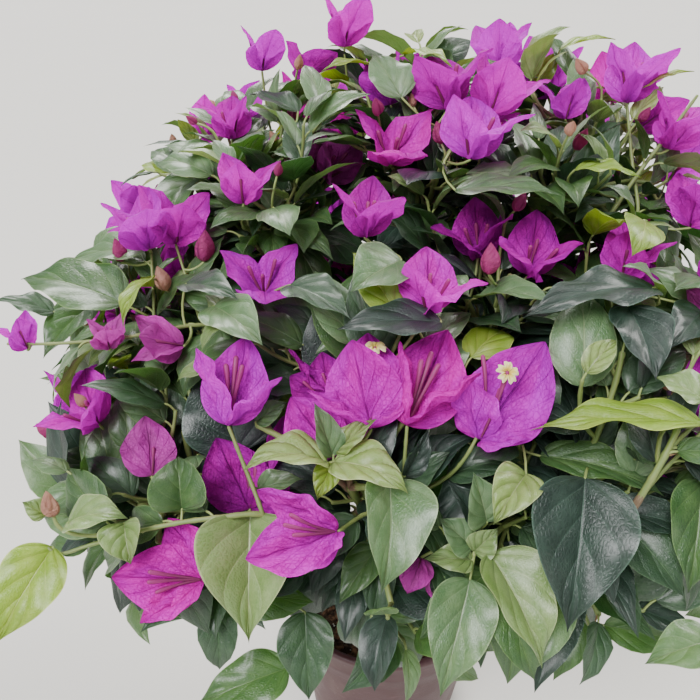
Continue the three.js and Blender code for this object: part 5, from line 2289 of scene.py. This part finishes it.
    def closing_leaf(
        self, inner: np.ndarray, ahead: np.ndarray, wood: np.ndarray, owners: Sequence[tuple[Shoot, float]]
    ) -> Blade | None:
        """Add one inner leaf across a line of sight, or return None where there is no room.

        Args:
            inner: points along the line of sight inside the crown.
            ahead: the direction of the line.
            wood: points along the limbs.
            owners: the limb and the share of its length for each of those points.

        Returns:
            The leaf, or None.
        """
        apart = np.linalg.norm(inner[:, None] - wood, axis=-1)
        for chosen in np.argsort(np.abs(apart.min(axis=0) - 30 * MM))[:5]:
            start = wood[chosen]
            target = inner[int(np.argmin(apart[:, chosen]))]
            way = unit(target - start)
            reach = float(np.linalg.norm(target - start))
            length = float(np.clip(1.5 * reach, 34 * MM, 66 * MM))
            root = start + way * min(10 * MM, max(3 * MM, reach - 0.5 * length))
            for lean in (0.0, 0.5, -0.5):
                face = square_to(-ahead + UP * 0.4 + lean * cross(way, ahead), way)
                blade = Blade(root, way, face, length, 0.62 * length, **LEAF_OUTLINE)
                outline = blade.outline()
                if self.frame.within(outline) and self.crowding.free(outline, BLADE_FACES):
                    self.leaves[LeafTint.OLD if self.chance.rand() < 0.5 else LeafTint.DEEP].append(blade)
                    self.crowding.add(outline, BLADE_FACES)
                    stalk = Route(np.array([start, (start + root) / 2, root]))
                    self.stalks.append((stalk, *self.fine_stalk))
                    shoot, share = owners[chosen]
                    shoot.bear(share)
                    return blade
        return None

    # Pieces
    def leaf_pieces(self) -> list[bpy.types.Object]:
        """Make one piece for each leaf tint."""
        pieces = []
        for tint, blades in self.leaves.items():
            pile = Pile()
            for blade in blades:
                swell = 1.1 * MM * tint.value.quilt
                pile.add_grid(blade.grid(49, 19, quilt=swell) if blade.near else blade.grid(12, 9))
            piece = pile.to_object(f"leaves_{tint.name.lower()}", tint.value.build())
            pieces.append(piece)
        return pieces

    def bract_pieces(self) -> list[bpy.types.Object]:
        """Make one piece for each bract tint."""
        pieces = []
        for tint in BractTint:
            pile = Pile()
            for bloom in [one for one in self.blooms if one.tint is tint]:
                if bloom.closed:
                    pile.add_grid(bloom.bud(), closed=True)
                    continue
                for blade in bloom.bracts():
                    pile.add_grid(blade.grid(35, 19) if bloom.own_bracts else blade.grid(13, 9))
            piece = pile.to_object(f"bracts_{tint.name.lower()}", tint.value.build())
            pieces.append(piece)
        return pieces

    def flower_pieces(self) -> list[bpy.types.Object]:
        """Make the flower tubes and the open stars."""
        tubes, stars = Pile(), Pile()
        for bloom in [one for one in self.blooms if not one.closed]:
            for route, is_open in bloom.tubes():
                tubes.add_tube(route, np.array(TUBE_RADII) * (bloom.size / (40 * MM) * MM), 6)
                if is_open:
                    facing = route.along(1.0) if bloom.star_facing is None else bloom.star_facing
                    self.add_star(stars, route.at(1.0), facing, bloom.size * 0.15)
        return [
            tubes.to_object("flower_tubes", Small.TUBE.value.build()),
            stars.to_object("flower_stars", Small.STAR.value.build()),
        ]

    def add_star(self, pile: Pile, centre: np.ndarray, axis: np.ndarray, radius: float) -> None:
        """Add an open five-lobed star at a tube's end.

        Args:
            pile: where its faces go.
            centre: the tube's end.
            axis: the way that the star faces.
            radius: how far its lobes reach.
        """
        right = square_to(SKEW, axis)
        front = cross(axis, right)
        angles = np.linspace(0, TURN, 60, endpoint=False)
        lobes = 0.6 + 0.34 * np.abs(np.cos(2.5 * angles)) ** 0.7 - 0.1 * np.cos(10 * angles)
        rows = []
        for reach, rise in STAR_PROFILE:
            wide = radius * reach * (1 if reach < 0.2 else lobes)
            ruffle = 0.09 * radius * reach * np.cos(10 * angles)
            lift = radius * rise + ruffle
            rows.append(
                centre + np.outer(wide * np.cos(angles), right) + np.outer(wide * np.sin(angles), front)
                + np.outer(lift, axis) + axis * 0.8 * MM
            )
        pile.add_grid(np.array(rows), closed=True)

    def twig_pieces(self) -> list[bpy.types.Object]:
        """Make the brown twigs, the green shoots, the stalks and the thorns."""
        brown, green, stalks, thorns = Pile(), Pile(), Pile(), Pile()
        for shoot in self.shoots:
            if shoot.order < 2:
                turn = 0.4 if shoot.order == 0 else 0.2
                self.add_limb(brown, shoot, 0.0, turn, 8)
                self.add_limb(green, shoot, turn - 0.02, 1.0, 7)
            else:
                self.add_limb(green, shoot, 0.0, 1.0, 8 if shoot.placed else 6)
        for route, foot, tip in self.stalks:
            stalks.add_tube(route, np.linspace(foot, tip, 5), 5)
        for start, way, length in self.thorns:
            bend = start + way * 0.6 * length
            route = Bezier(start, bend, bend + unit(way + UP * 0.35) * 0.4 * length).route(5)
            thorns.add_tube(route, np.array([1.0, 0.62, 0.34, 0.08]) * 1.2 * MM, 6)
        return [
            brown.to_object("brown_twigs", Small.WOOD.value.build()),
            green.to_object("green_shoots", Small.SHOOT.value.build()),
            stalks.to_object("leaf_and_flower_stalks", Small.STALK.value.build()),
            thorns.to_object("thorns", Small.THORN.value.build()),
        ]

    def add_limb(self, pile: Pile, shoot: Shoot, low: float, high: float, sides: int) -> None:
        """Add a stretch of a limb with swollen nodes.

        Args:
            pile: where its faces go.
            shoot: the limb.
            low: the share of its length where the stretch starts.
            high: the share where it ends.
            sides: the points round it.
        """
        high = min(high, shoot.last)
        if high <= low:
            return
        step = (2 if shoot.placed else 3.2) * MM
        shares = np.linspace(low, high, max(5, int(shoot.route.length * (high - low) / step)))
        route = Route(shoot.route.at(shares))
        spacing = self.leaf_spacing[min(shoot.order, 2)]
        phase = (shares * shoot.route.length - self.bare_foot) / spacing
        near = np.abs(phase - np.round(phase)) * spacing
        swell = 1 + 0.2 * np.exp(-((near / (1.4 * MM)) ** 2))
        pile.add_tube(route, lerp(shoot.foot, shoot.tip, shares) * swell, sides)


# The trunk, the boughs, the pot and its mix
@dataclass
class Wood:
    """The trunk and the boughs, with the relief of their bark."""

    frame: Framework
    finish: BarkFinish = BarkFinish("bark", "#8a7860", "#43362a", "#a49a86")

    def __post_init__(self) -> None:
        """Make the bark's material."""
        self.material = self.finish.build()

    def relief(self, points: np.ndarray, middles: np.ndarray, depth: float) -> np.ndarray:
        """Push rings of points in and out like furrowed bark.

        Args:
            points: points by ring, by side, by axis.
            middles: the middle of each ring.
            depth: the relief as a share of the radius.

        Returns:
            The pushed points.
        """
        made = points.copy()
        for ring in range(points.shape[0]):
            for side in range(points.shape[1]):
                x, y, z = points[ring, side]
                furrow = noise.noise(Vector((x * 420, y * 420, z * 60)))
                knob = noise.noise(Vector((x * 150, y * 150, z * 110)) + Vector((5.0, 1.0, 2.0)))
                away = points[ring, side] - middles[ring]
                made[ring, side] = middles[ring] + away * (1 + depth * (0.6 * furrow + 0.8 * knob))
        return made

    def limb_piece(
        self, name: str, curve: Bezier, radii: np.ndarray, sides: int, depth: float
    ) -> bpy.types.Object:
        """Make one limb with bark relief.

        Args:
            name: the piece's name.
            curve: its middle line.
            radii: a radius for each ring, or a row of them.
            sides: the points in each ring.
            depth: the relief as a share of the radius.

        Returns:
            The piece.
        """
        route = curve.route(60)
        body = rings(route, radii, sides)
        middles = route.at(np.linspace(0, 1, len(radii)))
        body = self.relief(body, middles, depth)
        tip, ahead = middles[-1], route.along(1.0) * float(np.mean(radii[-1]))
        dome = [tip + (body[-1] - tip) * 0.8 + ahead * 0.35, tip + (body[-1] - tip) * 0.06 + ahead * 0.6]
        pile = Pile()
        pile.add_grid(np.concatenate([body, np.array(dome)]), closed=True)
        return pile.to_object(name, self.material)

    def build(self) -> list[bpy.types.Object]:
        """Make the trunk and the twelve boughs, each in the place of its node."""
        shares = np.linspace(0, 1, 130)
        angles = np.linspace(0, TURN, 44, endpoint=False)
        radii = np.array([[self.frame.trunk_radius(share, angle) for angle in angles] for share in shares])
        trunk = self.limb_piece("trunk_bark", self.frame.trunk, radii, 44, 0.11)
        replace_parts(trunk, "trunk")
        pieces = [trunk]
        for mass in self.frame.masses:
            radii = np.linspace(*self.frame.limbs.bough, 46)
            bough = self.limb_piece(f"bough_bark_{mass.row.name}", mass.bough, radii, 14, 0.1)
            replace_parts(bough, f"bough_{mass.row.name}")
            pieces.append(bough)
        return pieces


@dataclass
class Pot:
    """The nursery pot: a thin tapered wall, a proud band, a rounded rim and drain holes."""

    sizes: PotSizes
    finish: PlasticFinish = PlasticFinish("pot_plastic", "#4a2b2e", "#7c5a5c", "#8d8078")
    around: int = 144

    def profile(self) -> list[tuple[float, float]]:
        """Return the wall's profile from the middle of the underside round to the middle of the floor."""
        s = self.sizes
        ledge = s.height - s.band_height
        band = s.wall_at(ledge) + s.band_proud
        rim = s.rim_radius
        inner = s.wall_at(s.height) - s.wall
        outer = [
            (0.0, 0.0), (20 * MM, 0.0), (s.foot_radius - 1.6 * MM, 0.0),
            (s.foot_radius - 0.5 * MM, 0.4 * MM), (s.foot_radius, 1.5 * MM),
            (s.wall_at(8 * MM) + 0.5 * MM, 8 * MM), (s.wall_at(9 * MM), 9 * MM),
        ]
        outer += [(s.wall_at(h), h) for h in np.linspace(14 * MM, ledge - s.ledge_height, 9)]
        outer += [
            (band - 0.9 * MM, ledge - 0.4 * MM), (band, ledge + 0.5 * MM),
            (band + 0.1 * MM, ledge + 2.2 * MM),
            (lerp(band, rim, 0.5) - 0.3 * MM, s.height - 11 * MM), (rim - 0.5 * MM, s.height - 4.4 * MM),
            (rim, s.height - 3 * MM), (rim - 0.1 * MM, s.height - 1.2 * MM), (rim - 1.2 * MM, s.height),
            (inner + 1.0 * MM, s.height), (inner, s.height - 1.2 * MM), (inner - 0.1 * MM, s.height - 4 * MM),
        ]
        inside = [(s.wall_at(h) - s.wall, h) for h in np.linspace(s.height - 10 * MM, s.floor, 8)]
        return outer + inside + [(20 * MM, s.floor), (0.0, s.floor)]

    def build(self) -> bpy.types.Object:
        """Make the pot in the place of its node."""
        angles = np.linspace(0, TURN, self.around, endpoint=False)
        radii, heights = np.array(self.profile()).T[:, :, None]
        radii = np.maximum(radii, 0.05 * MM)
        axes = np.broadcast_arrays(radii * np.cos(angles), radii * np.sin(angles), heights)
        pile = Pile()
        pile.add_grid(np.stack(axes, axis=-1), closed=True)
        pot = pile.to_object("nursery_pot", self.finish.build())
        self.cut_drains(pot)
        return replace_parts(pot, "pot")

    def cut_drains(self, pot: bpy.types.Object) -> None:
        """Cut the drain holes through the floor.

        Args:
            pot: the pot's piece.
        """
        cutters = Pile()
        radii = np.array([0.01, 1.0, 1.0, 0.01]) * self.sizes.drain_radius
        for index in range(self.sizes.drains):
            angle = TURN * index / self.sizes.drains
            x, y = self.sizes.drain_circle * math.cos(angle), self.sizes.drain_circle * math.sin(angle)
            line = Route(np.array([[x, y, -4 * MM], [x, y, 9 * MM]]))
            cutters.add_grid(rings(line, radii, 28), closed=True)
        cutter = cutters.to_object("drain_cutter", pot.data.materials[0])
        modifier = pot.modifiers.new("drains", "BOOLEAN")
        modifier.operation = "DIFFERENCE"
        modifier.solver = "EXACT"
        modifier.object = cutter
        evaluated = pot.evaluated_get(bpy.context.evaluated_depsgraph_get())
        cut = bpy.data.meshes.new_from_object(evaluated)
        pot.modifiers.clear()
        if len(cut.polygons) > len(pot.data.polygons) // 2:
            pot.data = cut
        bpy.data.objects.remove(cutter)


@dataclass
class PottingMix:
    """The potting mix, with bark chips and pale grains lying on it."""

    sizes: PotSizes
    trunk_foot: float
    seed: int = 11
    chips: int = 420
    grains: int = 150
    slack: float = 0.5 * MM
    bearings: tuple[float, float] = (0.0, 6.283)
    mix_finish: CrumbFinish = CrumbFinish("potting_mix", "#1d1510", "#4a3a2c", 420.0)
    chip_finish: CrumbFinish = CrumbFinish("bark_chip", "#38261b", "#7a5a42", 260.0)
    grain_finish: CrumbFinish = CrumbFinish("pale_grain", "#a9a69c", "#d9d6cc", 600.0, 0.7)

    def __post_init__(self) -> None:
        """Start the random numbers."""
        self.chance = np.random.RandomState(self.seed)

    def top_at(self, x: float, y: float) -> float:
        """Tell how high the mix stands.

        Args:
            x: the place to the right.
            y: the place to the back.

        Returns:
            The height there.
        """
        edge = self.edge_at(self.sizes.soil_top)
        level = self.trunk_foot + 12 * MM
        fall = np.clip((math.hypot(x, y) - level) / (edge - level), 0, 1)
        rough = noise.noise(Vector((x * 90, y * 90, 0.0)))
        rough += 0.5 * noise.noise(Vector((x * 260, y * 260, 3.0)))
        return float(self.sizes.soil_top - self.sizes.soil_crown * fall + 1.1 * MM * rough - 0.6 * MM)

    def edge_at(self, height: float) -> float:
        """Return the radius of the mix at a height, just inside the pot's wall."""
        return self.sizes.wall_at(height) - self.sizes.wall - self.slack

    def build(self) -> list[bpy.types.Object]:
        """Make the mix, the chips and the grains."""
        angles = np.linspace(0, TURN, 96, endpoint=False)
        directions = [(math.cos(angle), math.sin(angle)) for angle in angles]
        middle = 0.05 * MM
        foot = self.sizes.floor + 0.3 * MM
        radii = (middle, self.edge_at(foot))
        rows = [[(radius * x, radius * y, foot) for x, y in directions] for radius in radii]
        for radius in np.linspace(self.edge_at(self.sizes.soil_top - 3 * MM), middle, 26):
            ring = [(radius * x, radius * y) for x, y in directions]
            rows.append([(x, y, self.top_at(x, y)) for x, y in ring])
        pile = Pile()
        pile.add_grid(np.array(rows), closed=True)
        mix = pile.to_object("potting_mix_top", self.mix_finish.build())
        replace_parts(mix, "potting_mix")
        chips = self.lumps("bark_chips", self.chips, (3.0, 8.5), 0.34, self.chip_finish)
        grains = self.lumps("pale_grains", self.grains, (1.2, 2.6), 0.9, self.grain_finish)
        return [mix, chips, grains]

    def lumps(
        self, name: str, count: int, sizes: tuple[float, float], flat: float, finish: CrumbFinish
    ) -> bpy.types.Object:
        """Scatter lumps on the mix.

        Args:
            name: the piece's name.
            count: how many.
            sizes: the shortest and longest, in millimetres.
            flat: how thick a lump is for its width.
            finish: their finish.

        Returns:
            The piece.
        """
        pile = Pile()
        reach = self.sizes.wall_at(self.sizes.soil_top) - self.sizes.wall - 6 * MM
        for _ in range(count):
            away = lerp(self.trunk_foot + 6 * MM, reach, math.sqrt(self.chance.rand()))
            bearing = self.chance.uniform(*self.bearings)
            x, y = away * math.cos(bearing), away * math.sin(bearing)
            length = self.chance.uniform(*sizes) * MM
            lie = self.chance.uniform(*self.bearings)
            way = np.array([math.cos(lie), math.sin(lie), self.chance.uniform(-0.25, 0.25)])
            thick = 0.45 * length * flat
            middle = np.array([x, y, self.top_at(x, y) + 0.5 * thick])
            line = Route(np.array([middle - way * length / 2, middle + way * length / 2]))
            radii = np.array([0.25, 0.85, 1.0, 0.9, 0.3]) * 0.36 * length
            lump = rings(line, radii * self.chance.uniform(0.8, 1.2, 5), 6, self.chance.uniform(0, 1))
            lump = lump + self.chance.normal(0, 0.06 * length, lump.shape)
            lump[..., 2] = middle[2] + (lump[..., 2] - middle[2]) * max(flat, 0.3)
            pile.add_grid(lump, closed=True)
        return pile.to_object(name, finish.build())


@dataclass(frozen=True)
class Sun:
    """A soft light from far away, with its bearing from +X, height and apparent width in degrees."""

    name: str
    bearing: float
    height: float
    spread: float
    strength: float
    tone: tuple[float, float, float]

    def build(self) -> None:
        """Make the light."""
        data = bpy.data.lights.new(self.name, "SUN")
        data.energy = self.strength
        data.angle = math.radians(self.spread)
        data.color = self.tone
        lamp = bpy.data.objects.new(self.name, data)
        turn, rise = math.radians(self.bearing), math.radians(self.height)
        away = Vector((math.cos(turn) * math.cos(rise), math.sin(turn) * math.cos(rise), math.sin(rise)))
        lamp.location = away * 3
        lamp.rotation_euler = away.to_track_quat("Z", "Y").to_euler()
        bpy.context.scene.collection.objects.link(lamp)


@dataclass(frozen=True)
class Studio:
    """A plain pale floor under soft light."""

    floor_half: float = 14.0
    sky: tuple[float, float, float] = (0.66, 0.7, 0.74)
    sky_strength: float = 0.5
    suns: tuple[Sun, ...] = (
        Sun("back_light", 104, 42, 30, 3.5, (1.0, 0.98, 0.96)),
        Sun("right_light", 22, 38, 24, 2.6, (1.0, 0.98, 0.95)),
        Sun("front_light", -124, 50, 34, 5.2, (0.99, 0.98, 1.0)),
    )

    def build(self) -> None:
        """Make the floor, the lights and the surrounding light."""
        half = self.floor_half
        corners = [[[-half, -half, 0], [half, -half, 0]], [[-half, half, 0], [half, half, 0]]]
        pile = Pile()
        pile.add_grid(np.array(corners, dtype=float))
        pile.to_object("floor", StudioFinish().build())
        for sun in self.suns:
            sun.build()
        world = bpy.data.worlds.new("soft_surround")
        world.use_nodes = True
        surround = world.node_tree.nodes["Background"]
        surround.inputs[0].default_value = (*self.sky, 1.0)
        surround.inputs[1].default_value = self.sky_strength
        bpy.context.scene.world = world


def main() -> None:
    """Build the dressed bush, its pot and its studio."""
    view = View()
    view.build()
    pot_sizes = PotSizes()
    framework = Framework(pot_sizes, CrownSizes(), LimbSizes())
    pieces = [Pot(pot_sizes).build()]
    pieces += PottingMix(pot_sizes, framework.limbs.trunk_foot + framework.limbs.flare).build()
    pieces += Wood(framework).build()
    bush = Bush(framework, view)
    bush.grow()
    crown = bush.leaf_pieces() + bush.bract_pieces() + bush.flower_pieces() + bush.twig_pieces()
    masses = [f"foliage_{mass.row.name}" for mass in framework.masses]
    for piece in crown:
        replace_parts(piece, *masses)
    for piece in pieces + crown:
        log.info("%s: %d faces", piece.name, len(piece.data.polygons))
    Studio().build()


if __name__ == "__main__":
    logging.basicConfig(level=logging.INFO, format="%(message)s")
    main()
